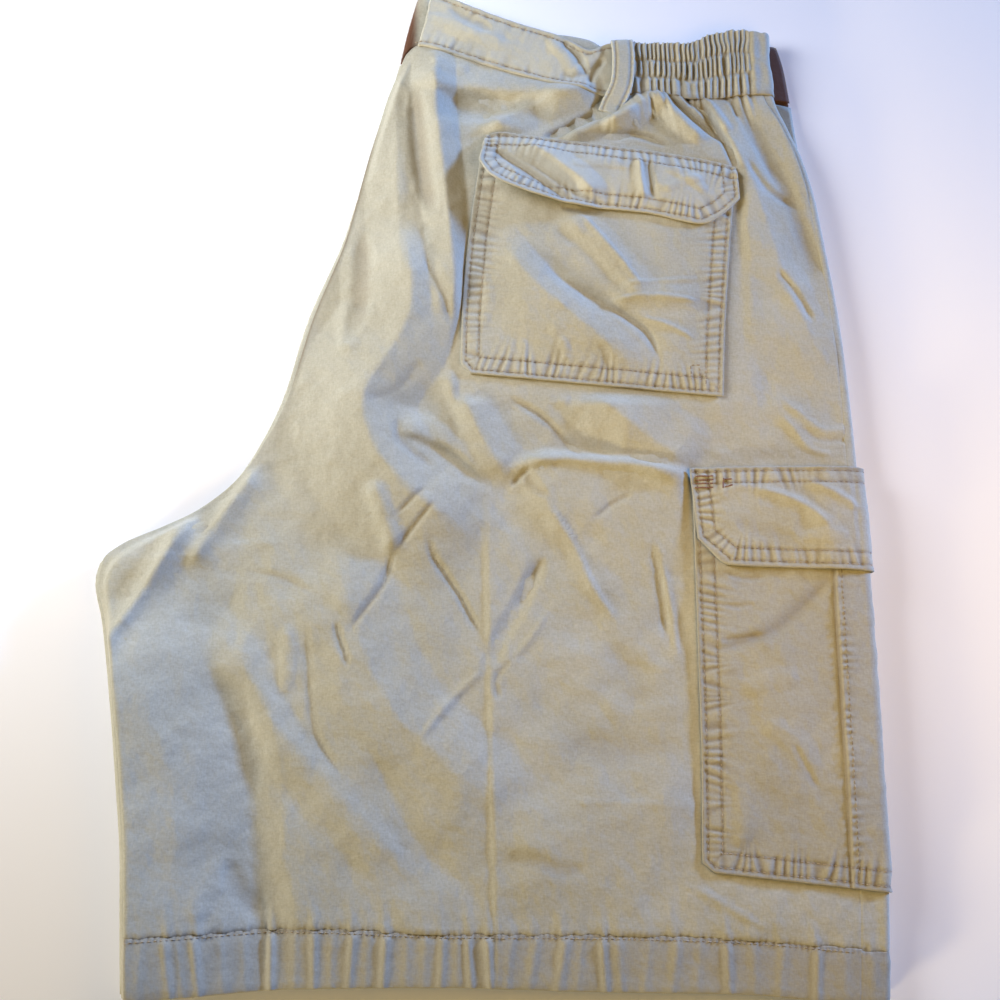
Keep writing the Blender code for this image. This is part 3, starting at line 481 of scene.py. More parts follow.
CARGO_CREASES = (
    Fold(-1.3, 9, 7, SHARP, ((122, -113), (140, -108), (157, -101), (173, -88), (191, -71))),
    Fold(-0.7, 3, 4, SHARP, ((126, -107), (137, -106), (151, -104))),
    Fold(0.8, 10, 10, SOFT, ((146, -149), (162, -159), (176, -178))),
    Fold(-0.6, 3, 4, SHARP, ((162, -160), (169, -173), (175, -185))),
    Fold(0.8, 8, 8, SOFT, ((134, -180), (136, -200), (132, -215))),
    Fold(0.7, 8, 10, SOFT, ((136, -133), (153, -128), (169, -126))),
    Fold(-0.5, 3, 3, SHARP, ((130, -88), (138, -89), (147, -88))),
    Fold(-0.5, 3, 3, SHARP, ((130, -71), (141, -74), (154, -73))),
)
FLAP_CREASES = (
    even_fold(3.4, 10, 7, PLANE, ((21, 183), (42, 167), (58, 153), (67, 141))),
    even_fold(-3.4, 4, 7, SHARP, ((2, 179), (18, 167), (35, 153), (52, 140))),
    even_fold(1.9, 3.5, 6, SHARP, ((90, 172), (90, 161), (92, 143))),
    even_fold(-1.4, 3.5, 5, SHARP, ((95, 170), (96, 159), (98, 143))),
    Fold(0.9, 5, 6, SOFT, ((104, 164), (119, 158), (129, 148))),
    Fold(0.8, 4, 5, SOFT, ((102, 148), (113, 155), (129, 159))),
    Fold(0.7, 5, 5, SOFT, ((48, 165), (67, 167), (87, 164))),
    Fold(0.8, 2.5, 3.5, SHARP, ((9, 170), (16, 163), (21, 151))),
)
CARGO_FLAP_CREASES = (
    even_fold(1.6, 5, 7, SHARP, ((145, -24), (161, -28), (176, -35), (190, -48))),
    even_fold(1.2, 4, 6, SHARP, ((174, -19), (187, -25), (198, -31), (207, -39))),
    Fold(0.7, 5, 7, SHARP, ((125, -31), (135, -25), (151, -23))),
    Fold(-0.5, 8, 8, SOFT, ((135, -42), (151, -48), (172, -55))),
    Fold(0.8, 6, 8, SOFT, ((172, -53), (185, -50), (199, -52))),
)
BAND_CREASES = (
    Fold(0.8, 5, 6, SOFT, ((38, 250), (48, 240), (56, 224))),
    Fold(-2.1, 4, 5, SHARP, ((46, 250), (56, 240), (62, 226))),
    Fold(1.2, 5, 5, SOFT, ((72, 246), (62, 236), (52, 226))),
    Fold(-1.8, 4, 4, SHARP, ((72, 238), (66, 230), (62, 220))),
    Fold(0.9, 7, 9, SOFT, ((-34, 268), (-18, 262), (0, 252), (18, 246))),
    Fold(-0.8, 6, 6, SOFT, ((-22, 276), (-8, 264), (6, 256))),
)


class LegForm:
    """The top layer of the folded leg: its outline, height, and the roll over the side fold."""

    left = column(SECTIONS, 1)
    right = column(SECTIONS, 2)
    top_left = column(SECTIONS, 3)
    top_right = column(SECTIONS, 4)
    fold_z = column(SECTIONS, 5)
    hem_edge = column(HEM, 1)
    hem_line = column(HEM, 2)
    waist_seam = column(WAIST, 1)
    waist_top = column(WAIST, 2)
    waist_behind = column(WAIST, 3)
    seam_inset = column(SIDE_SEAM, 1)

    @staticmethod
    def under_pockets(x: Array, y: Array) -> Array:
        """1 where the leg lies flat under a pocket, and 0 clear of them."""
        edge = mix(-12, -1, np.clip((y - 48) / 128, 0, 1))
        top = mix(190, 166, np.clip(x / 146, 0, 1))
        back = ease((x - edge + 8) / 7) * ease((153 - x) / 8) * inside(y, 26, top, 9)
        cargo = ease((x - 108) / 8) * inside(y, -232, -12, 10)
        return np.maximum(back, cargo)

    @classmethod
    def edge_distance(cls, x: Array, y: Array) -> Array:
        """How far a place lies in from the inseam and the rise."""
        slope = (cls.top_left(y + 1) - cls.top_left(y - 1)) / 2
        return (x - cls.top_left(y)) / np.sqrt(1 + slope * slope)

    @classmethod
    def height(cls, x: Array, y: Array) -> Array:
        """The top of the leg above the surface, up to where it starts to roll over the side fold."""
        from_left = cls.edge_distance(x, y)
        from_fold = cls.top_right(y) - FOLD_RADIUS - x
        side = cls.fold_z(y) + FOLD_RADIUS
        z = PLATEAU - (PLATEAU - INSEAM_HEIGHT) * (1 - ease(from_left / LEFT_ROLL))
        middle = ease(from_left / LEFT_ROLL) * ease(from_fold / RIGHT_ROLL)
        z = z - HEM_DROP * (1 - ease((y - HEM_Y) / 60)) * middle
        z = z + POCKET_SWELL * inside(x, -30, 165, 60) * inside(y, 10, 205, 60)
        folds = sum(fold.relief(x, y) for fold in LEG_FOLDS)
        z = z + folds * (1 - cls.under_pockets(x, y)) * ease(from_left / 5)
        return mix(side, z, ease(from_fold / RIGHT_ROLL))

    @classmethod
    def roll(cls, x: Array, y: Array, rise: Array | float) -> Array:
        """Lay cloth on the leg and over its side fold.

        Args:
            x: places on the unrolled cloth.
            y: places on the unrolled cloth.
            rise: height above the leg's top.
        Returns:
            The places in space, a row each.
        """
        x, y, rise = (np.asarray(value, dtype=float) for value in np.broadcast_arrays(x, y, rise))
        start = cls.top_right(y) - FOLD_RADIUS
        run = x - start
        middle = cls.fold_z(y)
        half_turn = math.pi * FOLD_RADIUS
        angle = np.clip(run / FOLD_RADIUS, 0, math.pi)
        radius = FOLD_RADIUS + rise
        flat = run <= 0
        px = np.where(flat, x, start + radius * np.sin(angle) - np.maximum(run - half_turn, 0))
        pz = middle + radius * np.cos(angle)
        pz[flat] = cls.height(x[flat], y[flat]) + rise[flat]
        return np.stack((px, y, pz), -1)


LEG = LegForm


@dataclass(frozen=True)
class Seam:
    """Rows of stitches beside a pressed edge, with the cloth puckered between them."""

    path: tuple[Point, ...]
    rows: tuple[float, ...]     # how far in from the edge each row of stitches lies
    ladder: float               # height of the puckers across the rows
    seed: int
    pitch: float = 4.7          # from one pucker to the next
    streak: float = 7.0         # how far the puckers run on past the last row

    furrow: ClassVar[float] = 0.38      # how deep the thread pulls the cloth in
    furrow_width: ClassVar[float] = 0.85
    rim: ClassVar[float] = 0.12         # how far the pressed edge stands up
    rim_width: ClassVar[float] = 1.6
    slant: ClassVar[float] = 0.35       # how far the puckers lean, now one way and now the other

    def track(self) -> Track:
        """The edge that the rows keep their distance from."""
        return Track(self.path, smooth=False)

    def relief(self, x: Array, y: Array) -> Look:
        """What the seam does to each place.

        Args:
            x: places on the unrolled cloth.
            y: places on the unrolled cloth.
        Returns:
            The height that it adds, how worn pale the cloth is, and the painted shade in the needle's furrow,
            in the pucker hollows and along the edge.
        """
        high, worn, dark = np.zeros(len(x)), np.zeros(len(x)), np.zeros(len(x))
        last = self.rows[-1]
        found, side, along, _ = self.track().near(x, y, last + 3.2 * self.streak)
        lean = along + self.slant * side * uneven(along, 9, self.seed + 4)
        pucker = wave(lean / self.pitch + 0.75 * uneven(along, 15, self.seed))
        pucker = pucker * (0.55 + 0.45 * uneven(along, 7, self.seed + 1))
        pucker = pucker + 0.25 * uneven(lean, 2.3, self.seed + 3)
        pucker = np.sign(pucker) * np.abs(pucker) ** 0.8
        reach = self.streak * (0.55 + 0.45 * uneven(along, 6, self.seed + 2))
        fade = np.exp(-np.clip(side - last, 0, None) / np.maximum(reach, 0.8))
        between = ease((side - self.rows[0] + 2.0) / 2.0) * fade
        sewn = np.clip(sum(bell(side - row, self.furrow_width) for row in self.rows), 0, 1)
        edge = self.rim * bell(side, self.rim_width)
        high[found] = self.ladder * pucker * between - self.furrow * sewn + edge
        worn[found] = 0.25 * np.clip(pucker, 0, 1) * between
        # painted shade in the needle's furrow and the pucker hollows, and a painted shadow along the pressed
        # edge
        dark[found] = 0.5 * sewn + 0.8 * np.clip(-pucker, 0, 1) * between + 0.25 * bell(side, 0.9)
        return high, worn, dark


# ---- cloth pieces ----

class Held(Enum):
    """How a piece of cloth lies."""

    FOLDED = "folded"
    LAID = "laid"
    GATHERED = "gathered"


class Shell:
    """A thin wall of cloth: a fine outer face, rounded edges and a plainer inner face."""

    # round the edge, from the outer face to the inner one: how far out and down, as shares of the wall
    edge = ((0.28, 0.10), (0.46, 0.50), (0.28, 0.90), (0.0, 1.0))

    @staticmethod
    def normals(outer: Array) -> Array:
        """The unit normal at each point of a grid."""
        across = np.gradient(outer, axis=1)
        up = np.gradient(outer, axis=0)
        normal = np.cross(across, up)
        return normal / np.maximum(np.linalg.norm(normal, axis=-1, keepdims=True), 1e-9)

    @staticmethod
    def rim(rows: int, columns: int, step: int = 1) -> list[tuple[int, int]]:
        """The grid places round a rectangle's edge, anticlockwise."""
        return (
            [(0, i) for i in range(0, columns, step)] + [(j, columns) for j in range(0, rows, step)]
            + [(rows, i) for i in range(columns, 0, -step)] + [(j, 0) for j in range(rows, 0, -step)]
        )

    @classmethod
    def mesh(cls, name: str, outer: Array, wall: float, tint: Array, step: int = 3) -> bpy.types.Object:
        """Make the wall.

        Args:
            name: the piece's name.
            outer: the outer face, rows by columns by 3, in millimetres; both counts less 1 divide by step.
            wall: the thickness in millimetres.
            tint: for each outer point how pale it is from being worn and from painted light, how dark from
                painted shade, and how brown it is.
            step: how much coarser the inner face is.
        Returns:
            The piece, linked to the scene.
        """
        rows, columns = outer.shape[0] - 1, outer.shape[1] - 1
        normal = cls.normals(outer)
        index = np.arange((rows + 1) * (columns + 1)).reshape(rows + 1, columns + 1)
        quads = np.stack((index[:-1, :-1], index[:-1, 1:], index[1:, 1:], index[1:, :-1]), -1).reshape(-1, 4)
        faces = quads.tolist()
        points = [outer.reshape(-1, 3)]
        tints = [tint.reshape(-1, 3)]
        rim = cls.rim(rows, columns)
        j, i = np.array(rim).T
        line, edge_normal = outer[j, i], normal[j, i]
        tangent = np.roll(line, -1, 0) - np.roll(line, 1, 0)
        tangent /= np.maximum(np.linalg.norm(tangent, axis=1, keepdims=True), 1e-9)
        outward = np.cross(tangent, edge_normal)
        count = index.size
        ring = index[j, i]
        for out, down in cls.edge:
            points.append(line + (outward * out - edge_normal * down) * wall)
            tints.append(tint[j, i])
            new = np.arange(count, count + len(rim))
            count += len(rim)
            band = np.stack((np.roll(ring, -1), ring, new, np.roll(new, -1)), -1)
            faces += band.tolist()
            ring = new
        inner = dict(zip(rim, ring.tolist()))
        inside_rows, inside_columns = range(step, rows, step), range(step, columns, step)
        body = outer - normal * wall
        for a in inside_rows:
            for b in inside_columns:
                inner[a, b] = count
                count += 1
        grid_j, grid_i = np.meshgrid(list(inside_rows), list(inside_columns), indexing="ij")
        points.append(body[grid_j.ravel(), grid_i.ravel()])
        tints.append(np.zeros((grid_j.size, 3)))
        for a in range(0, rows, step):
            for b in range(0, columns, step):
                loop = [(a + dj, b + di) for dj, di in cls.rim(step, step)]
                faces.append([inner[place] for place in reversed(loop) if place in inner])
        return new_piece(name, np.vstack(points), faces, np.vstack(tints))


def new_piece(name: str, points: Array, faces: list[list[int]], tint: Array) -> bpy.types.Object:
    """Make a smooth mesh object.

    Args:
        name: the object's name.
        points: its vertices in millimetres.
        faces: vertex numbers of each face.
        tint: three shares for each vertex, kept as the attribute that the finishes read.
    Returns:
        The object, linked to the scene.
    """
    mesh = bpy.data.meshes.new(name)
    mesh.from_pydata((points * MM).tolist(), [], faces)
    attribute = mesh.attributes.new("wear_and_painted_shading", "FLOAT_COLOR", "POINT")
    values = np.concatenate((np.clip(tint, 0, 1), np.ones((len(tint), 1))), 1)
    attribute.data.foreach_set("color", values.astype(np.float32).ravel())
    mesh.shade_smooth()
    piece = bpy.data.objects.new(name, mesh)
    bpy.context.scene.collection.objects.link(piece)
    return piece


@dataclass
class Cloth:
    """A cut piece of cloth, on the solid that has its name without the ending."""

    node: str
    wall: float = CLOTH
    slot: str = "twill"
    held: Held = Held.FOLDED
    flat: tuple[float, float] = (100.0, 100.0)
    area: float | None = None           # of the flat piece, where it isn't near a rectangle
    span: Point = (100.0, 100.0)        # about how wide and long it lies
    rests_on: tuple[str, ...] = ("hidden_layers",)
    seams: tuple[Seam, ...] = ()
    creases: tuple[Fold, ...] = ()
    pitch: float = 1.0                  # between points of its outer face
    coarser: int = 3                    # how much coarser its inner face is
    # painted light: a pale tint standing in for brighter light on the piece
    fade_and_painted_light: float = 0.0
    # painted shade: a dark tint standing in for the light falling off toward the lower right
    painted_falloff_shade: float = 0.0
    piece: bpy.types.Object | None = field(default=None, init=False)

    worn_crest: ClassVar[float] = 0.10      # how much a crease is worn for each millimetre that it stands up
    painted_crease_shade: ClassVar[float] = 0.34     # painted shade: how much a crease hollow is darkened for each millimetre that it lies deep

    def grid(self) -> tuple[Array, Array]:
        """Places on the unrolled cloth, rows by columns."""
        raise NotImplementedError

    def rise(self, x: Array, y: Array) -> Array:
        """Height above the leg's top, without seams and creases."""
        raise NotImplementedError

    def detail(self, x: Array, y: Array) -> Look:
        """Height, how worn, and the painted shade that seams and creases give."""
        high = sum((fold.relief(x, y) for fold in self.creases), np.zeros(len(x)))
        worn = np.clip(high * self.worn_crest, 0, 0.3)
        # painted shade in the crease hollows
        dark = np.clip(-self.painted_crease_shade * high, 0, 0.6)
        for seam in self.seams:
            a, b, c = seam.relief(x, y)
            high, worn, dark = high + a, np.maximum(worn, b), np.maximum(dark, c)
        return high, worn, dark

    def surface(self, x: Array, y: Array) -> Array:
        """The outer face at places on the unrolled cloth."""
        return LEG.roll(x, y, self.rise(x, y) + self.detail(x, y)[0])

    def build(self) -> bpy.types.Object:
        """Make the piece and put it in place of its solid."""
        x, y = self.grid()
        shape = x.shape
        flat_x, flat_y = x.ravel(), y.ravel()
        _, worn, dark = self.detail(flat_x, flat_y)
        # pale share: worn cloth, and painted light on some pieces; dark share: painted shade
        tint = np.stack((worn + self.fade_and_painted_light, dark + self.painted_falloff_shade, np.zeros(len(worn))), -1)
        tint = tint.reshape(*shape, 3)
        outer = self.surface(flat_x, flat_y).reshape(*shape, 3)
        self.piece = Shell.mesh(self.node + "_cloth", outer, self.wall, tint, self.coarser)
        self.claim()
        return self.piece

    def claim(self) -> None:
        """Hang the piece under the root body and hide the solid that it stands for."""
        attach(self.piece, "root")
        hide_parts(self.node)

    def counts(self) -> tuple[int, int]:
        """Columns and rows at its pitch, each a multiple of 6."""
        columns, rows = (6 * max(1, round(size / self.pitch / 6)) for size in self.span)
        return columns, rows

    def shares(self) -> tuple[Array, Array]:
        """Shares across and up at its pitch."""
        return shares(*self.counts())


Line = Curve | Callable[[Array], Array]


def leg_places(across: Array, up: Array, low: Line, high: Line) -> tuple[Array, Array]:
    """Lay a grid over the back of the leg, from the inseam to the side seam.

    Args:
        across: shares across the grid.
        up: shares up it.
        low: the line that it starts on.
        high: the line that it ends on.
    Returns:
        Places on the unrolled cloth.
    """

    def x_at(y: Array) -> Array:
        """The place across the leg at each height up it."""
        return mix(LEG.top_left(y), LEG.top_right(y) - LEG.seam_inset(y) - GAP / 2, across)

    ends = []
    for line in (low, high):
        y = line(np.zeros_like(across))
        for _ in range(12):
            y = line(x_at(y))
        ends.append(y)
    y = mix(*ends, up)
    return x_at(y), y


def fold_places(rows: int, low: Line, high: Line) -> tuple[Array, Array]:
    """Lay a grid over the side fold, from the side seam round to the tuck.

    Args:
        rows: cells up.
        low: the line that it starts on.
        high: the line that it ends on.
    Returns:
        Places on the unrolled cloth.
    """
    across, up = shares(ARC_COLUMNS, rows)
    y = np.zeros_like(across)
    for _ in range(6):
        roll = LEG.top_right(y) - FOLD_RADIUS
        y = mix(low(roll), high(roll), up)
    first = FOLD_RADIUS + GAP / 2 - LEG.seam_inset(y)
    return roll + mix(first, math.pi * FOLD_RADIUS + TUCK, across), y


@dataclass
class LegPanel(Cloth):
    """A leg panel, with the fine unevenness of washed cotton and puckers above its hem."""

    # its unevenness, coarse to fine: height, size and seed
    slack: tuple[tuple[float, float, int], ...] = ((0.75, 21, 3), (0.38, 9, 5), (0.13, 4.7, 7))
    pull: float = 0.9               # height of the hem's puckers where they start, as a share of the hem's
    pull_reach: float = 10.0        # how far they run up the leg
    gather: float = 1.5             # height of the gathers that the elastic makes
    gather_pitch: float = 6.2
    gathered: Point = (88.0, 160.0)     # where they start and end

    def lines(self) -> tuple[Callable, Callable]:
        """The panel's lower and upper edge."""
        return lambda at: LEG.hem_line(at) + GAP * 0.5, lambda at: LEG.waist_seam(at) - SEAM_GAP * 0.4

    def rise(self, x: Array, y: Array) -> Array:
        """A leg panel is the leg's top."""
        return np.zeros(len(x))

    def detail(self, x: Array, y: Array) -> Look:
        """Creases and puckers that fade under the pockets and at the panel's edges."""
        high, worn, dark = super().detail(x, y)
        bare = 1 - LEG.under_pockets(x, y)
        slack = sum(height * rumple(x, y, size, seed) for height, size, seed in self.slack)
        from_edge = LEG.edge_distance(x, y)
        inner = ease(from_edge / 8) * ease((LEG.top_right(y) - x) / 8)
        above_hem = y - LEG.hem_line(x)
        fade = np.exp(-np.clip(above_hem, 0, None) / self.pull_reach)
        pull = self.pull * hem_puckers(x + 0.12 * above_hem) * fade
        tick, groove = hem_ticks(x, above_hem)
        below = np.clip(LEG.waist_seam(x) - y, 0, None)
        lean = x - 0.25 * below
        turns = lean / self.gather_pitch + 0.7 * uneven(lean, 11, 21)
        gather = self.gather * wave(turns) * inside(x, *self.gathered, 8)
        gather = gather * (0.6 + 0.4 * uneven(lean, 7, 24)) * np.exp(-below / (8 + 5 * uneven(lean, 9, 22)))
        extra = (slack + gather) * inner + pull * ease(from_edge / 3)
        furrow = bell(LEG.waist_seam(x) - y, 1.6)
        start, end = self.gathered
        # painted shade in the hollows just under the elastic
        pinched = inside(x, start - 2, end + 2, 6) * np.exp(-below / 4) * np.clip(0.45 - 0.5 * gather, 0, 1)
        high = (high + extra) * bare - 0.4 * furrow - 0.4 * groove - 0.45 * tick
        rise_gap_shadow = bell(from_edge, 0.9) * inside(y, 40, 190, 30)
        # painted shade under the waistband seam, at the hem's stitch ticks and furrow, in the gap along the
        # rise, and under the elastic
        dark = np.clip(dark + 0.5 * furrow + 0.5 * tick + 0.3 * groove + rise_gap_shadow + pinched, 0, 1)
        return high, 0.5 * worn * bare, dark


@dataclass
class BackPanel(LegPanel):
    """The back of the top leg."""

    span: Point = (385.0, 500.0)

    def grid(self) -> tuple[Array, Array]:
        """Places from the inseam to the side seam."""
        return leg_places(*self.shares(), *self.lines())


@dataclass
class FrontPanel(LegPanel):
    """The strip of the front panel that rolls over the side fold."""

    span: Point = (10.0, 480.0)

    def grid(self) -> tuple[Array, Array]:
        """Places from the side seam round the fold."""
        return fold_places(self.counts()[1], *self.lines())


# where the hem stands in ridges: x, height, half width
HEM_RIDGES = (
    (-183, 0.9, 2.4), (-170, 0.5, 2.2), (-157, 1.1, 2.2), (-151, 0.5, 1.6), (-143, 1.2, 2.0),
    (-131, 0.5, 2.0), (-120, 0.6, 2.2), (-107, 2.0, 2.0), (-95, 0.6, 2.4), (-85, 1.3, 2.0),
    (-76, 0.5, 2.0), (-66, 1.2, 2.0),
    (-58, 0.5, 2.0), (-49, 1.5, 2.2), (-38, 0.5, 2.4), (-29, 0.5, 2.4), (-20, 1.0, 2.0), (-12, 0.5, 2.0),
    (-6, 1.2, 1.8), (4, 1.8, 2.2), (14, 0.6, 2.2), (26, 0.8, 2.6), (41, 1.1, 2.6), (50, 0.4, 1.8),
    (62, 1.2, 1.8), (70, 0.7, 2.4), (84, 0.5, 2.4), (98, 0.8, 2.6), (110, 0.4, 2.2), (125, 1.2, 2.2),
    (138, 0.5, 2.6), (152, 0.7, 2.6), (170, 1.1, 2.0), (184, 0.4, 2.6), (198, 0.6, 2.6),
)


def hem_puckers(x: Array) -> Array:
    """The height of the hem's ridges along it."""
    return sum(height * bell(x - at, width) for at, height, width in HEM_RIDGES)


def hem_ticks(x: Array, away: Array) -> tuple[Array, Array]:
    """What the hem's stitches do to the cloth beside them.

    Args:
        x: places along the hem.
        away: how far from the stitch line they lie.
    Returns:
        How much the cloth is pinched across the stitches, and how deep it lies in their furrow.
    """
    pinch = wave(x / 3.5 + 0.5 * uneven(x, 12, 35)) + 0.25 * uneven(x, 1.6, 36)
    reach = np.abs(away) / (2.4 + 0.9 * uneven(x, 3, 37))
    return np.clip(pinch, 0, 1) * np.exp(-reach ** 4), bell(away, 1.2)


@dataclass
class Hem(Cloth):
    """The turned hem, ridged by its stitches, and darker than the leg with painted shade, more so toward the
    side fold.
    """

    depth: float = 26.0
    ridge: float = 1.2          # how much higher its ridges stand than the table has them
    slant: float = 5.0          # how far they lean
    # painted shade: how much darker the hem is, and how much more toward the side fold
    shade: float = 0.34
    shade_at_fold: float = 0.14

    def rise(self, x: Array, y: Array) -> Array:
        """The hem stands up from its stitch line to its lower edge."""
        share = np.clip((LEG.hem_line(x) - y) / (LEG.hem_line(x) - LEG.hem_edge(x)), 0, 1)
        return HEM_RISE * (0.35 + 0.65 * ease(share / 0.25)) * (1 - 0.5 * ease((share - 0.9) / 0.1))

    def detail(self, x: Array, y: Array) -> Look:
        """Slanted ridges from the stitches to the edge."""
        share = np.clip((LEG.hem_line(x) - y) / self.depth, 0, 1)
        lean = x + self.slant * (share - 0.5) * uneven(x, 22, 31)
        grip = ease(share / 0.12) * (1 - 0.35 * share)
        ridges = (hem_puckers(lean) - 0.4) * grip * ease((LEG.top_right(y) - x) / 8 + 0.4)
        tick, furrow = hem_ticks(x, LEG.hem_line(x) - y)
        high = self.ridge * ridges + 0.25 * rumple(x, y, 8, 33) * grip - 0.4 * furrow - 0.45 * tick
        worn = np.clip(0.15 * ridges, 0, 0.3)
        shade = self.shade + self.shade_at_fold * ease((x - 60) / 100)
        # painted shade: the hem's darker tone, and darkening at the stitch ticks, in the stitch furrow and
        # between the ridges
        return high, worn, shade + 0.4 * tick + 0.3 * furrow + 0.2 * np.clip(-ridges, 0, 1)


@dataclass
class BackHem(Hem):
    """The hem of the back panel."""

    span: Point = (385.0, 27.0)

    def grid(self) -> tuple[Array, Array]:
        """Places from the inseam to the side seam."""
        return leg_places(*self.shares(), LEG.hem_edge, LEG.hem_line)


@dataclass
class FrontHem(Hem):
    """The hem of the front panel."""

    span: Point = (10.0, 25.0)

    def grid(self) -> tuple[Array, Array]:
        """Places from the side seam round the fold."""
        return fold_places(self.counts()[1], LEG.hem_edge, LEG.hem_line)


@dataclass
class PlainBand(Cloth):
    """The plain back waistband."""

    span: Point = (118.0, 38.0)
    inset: float = 5.5          # how far in from the rise it ends
    puff: float = 0.5           # how far its middle stands up
    rumpled: float = 1.3        # how much more uneven it is than the pockets

    def grid(self) -> tuple[Array, Array]:
        """Places from the rise to the elastic."""
        across, up = self.shares()
        y = np.zeros_like(across)
        for _ in range(8):
            x = mix(LEG.top_left(np.maximum(y, 238)) + self.inset, ELASTIC_START - GAP, across)
            y = mix(LEG.waist_seam(x), LEG.waist_top(x), up)
        return x, y

    def rise(self, x: Array, y: Array) -> Array:
        """The band stands a little above the leg."""
        up = (y - LEG.waist_seam(x)) / (LEG.waist_top(x) - LEG.waist_seam(x))
        puff = self.puff * np.sin(math.pi * np.clip(up, 0, 1))
        return BAND_RISE + puff + self.rumpled * crinkle(x, y, 41)


@dataclass
class ElasticBand(Cloth):
    """The gathered waistband, over the side fold."""

    span: Point = (118.0, 42.0)
    rib: float = 1.15               # height of its ribs
    pitches: tuple[float, float, float] = (4.6, 3.2, 3.0)       # of the ribs, from its seam up
    shirring: tuple[float, float] = (0.32, 0.66)    # how far up its two rows of stitches run, as a share
    shirring_width: float = 0.04
    # painted shade over the whole band, for the shade of its gathers
    shade: float = 0.08

    def grid(self) -> tuple[Array, Array]:
        """Places from the plain band round the side fold."""
        across, up = self.shares()
        y = np.zeros_like(across)
        for _ in range(6):
            end = LEG.top_right(y) - FOLD_RADIUS + math.pi * FOLD_RADIUS + TUCK
            x = mix(ELASTIC_START, end, across)
            flat = np.minimum(x, LEG.top_right(y) - FOLD_RADIUS)
            y = mix(LEG.waist_seam(flat), LEG.waist_top(flat) + 0.7 * uneven(x, 2.4, 55), up)
        return x, y

    def share_up(self, x: Array, y: Array) -> Array:
        """How far up the band a place lies."""
        flat = np.minimum(x, LEG.top_right(y) - FOLD_RADIUS)
        return np.clip((y - LEG.waist_seam(flat)) / (LEG.waist_top(flat) - LEG.waist_seam(flat)), 0, 1)

    def rise(self, x: Array, y: Array) -> Array:
        """The band stands a little above the leg."""
        return BAND_RISE + np.zeros(len(x))

    def detail(self, x: Array, y: Array) -> Look:
        """Ribs of unlike width and depth, held down by two shirring rows."""
        up = self.share_up(x, y)
        along = x + 0.9 * uneven(y, 7, 51) * uneven(x, 11, 52)
        low, top = 1 - ease((up - 0.24) / 0.16), ease((up - 0.58) / 0.16)
        rib = np.zeros(len(x))
        for k, (share, pitch) in enumerate(zip((low, 1 - low - top, top), self.pitches)):
            crest = np.cos(2 * math.pi * ((along - ELASTIC_START) / pitch + 0.5 * uneven(along, 7, 53 + k)))
            rib += share * np.sign(crest) * np.abs(crest) ** 0.75 * (0.75 + 0.4 * uneven(along, 4, 60 + k))
        ends = ease((x - ELASTIC_START - 0.5) / 2) * ease((ELASTIC_END + 2 - x) / 3)
        grip = 0.55 + 0.45 * np.sin(math.pi * np.clip(up, 0, 1))
        shirr = sum(bell(up - row, self.shirring_width) for row in self.shirring)
        high = ends * (self.rib * rib * grip * (1 - 0.4 * shirr) - 0.5 * shirr) + 0.3 * bell(up - 1, 0.08)
        high = high + 0.7 * bell(x - ELASTIC_END - 3, 2.0) + 0.5 * rumple(x, y, 6, 57)
        # painted shade in the rib hollows and along the seam, on top of the whole band's; darker too at the
        # shirring rows
        dark = self.shade + (0.7 * np.clip(-rib, 0, 1) + 0.3 * shirr) * ends + 0.4 * bell(up, 0.05)
        return high, 0.2 * np.clip(rib, 0, 1) * ends, dark


PocketRow = tuple[float, float, float, float, float]
# share up from the bottom, then left x and y and right x and y
BACK_POCKET: tuple[PocketRow, ...] = (
    (0.00, -7.0, 41.5, 133.0, 28.0), (0.05, -12.0, 48.0, 133.3, 34.0), (0.25, -11.5, 76.0, 135.0, 62.0),
    (0.60, -8.0, 122.0, 139.5, 110.0), (1.00, -1.0, 176.0, 145.0, 160.0),
)
# share across, then the top seam's x and y and the lower edge's x and y
BACK_FLAP: tuple[PocketRow, ...] = (
    (0.00, 1.0, 186.0, -2.0, 166.0), (0.06, 8.0, 187.5, 4.0, 156.0), (0.15, 21.0, 186.5, 17.0, 149.0),
    (0.27, 38.0, 184.0, 36.0, 143.0), (0.42, 60.0, 181.0, 60.0, 139.5), (0.64, 92.0, 176.5, 92.0, 136.5),
    (0.87, 125.0, 171.0, 125.0, 130.0), (0.94, 137.0, 168.5, 137.0, 136.5),
    (1.00, 146.0, 166.0, 147.0, 146.0),
)
CARGO_FLAP: tuple[PocketRow, ...] = (
    (0.00, 114.0, -14.0, 117.0, -52.0), (0.20, 129.0, -13.5, 133.0, -66.5),
    (0.60, 164.0, -13.0, 166.0, -68.0), (1.00, 212.0, -13.5, 212.0, -70.0),
)
POCKET_PUFF = 1.6       # how far the middle of the back pocket stands up
CARGO_PUFF = 1.0        # and of the cargo pocket
CARGO_TOP = -24.0
CARGO_LEFT = 115.0
CARGO_RIGHT = 212.0     # at the side fold
CARGO_LOW = -225.0
CARGO_SLOPE = 0.11      # of its lower edge
PLEAT_X = 190.0         # the pleat's edge
PLEAT_RISE = 1.2        # how far the pleat stands up
PLEAT_STEP = 1.5        # width over which it does
PLEAT_SOFT = 16.0       # the same under the flap


def back_pocket_rise(x: Array, y: Array) -> Array:
    """Height of the back pocket above the leg: its slack and folds fade at its edges."""
    across = (x - mix(-12, -2, (y - 35) / 140)) / 145
    up = (y - mix(41, 28, across)) / 135
    slack = ease(across / 0.25) * ease((1 - across) / 0.25) * ease(up / 0.25) * ease((1.15 - up) / 0.3)
    return GAP + CLOTH + (POCKET_PUFF + sum(fold.relief(x, y) for fold in POCKET_FOLDS)) * slack


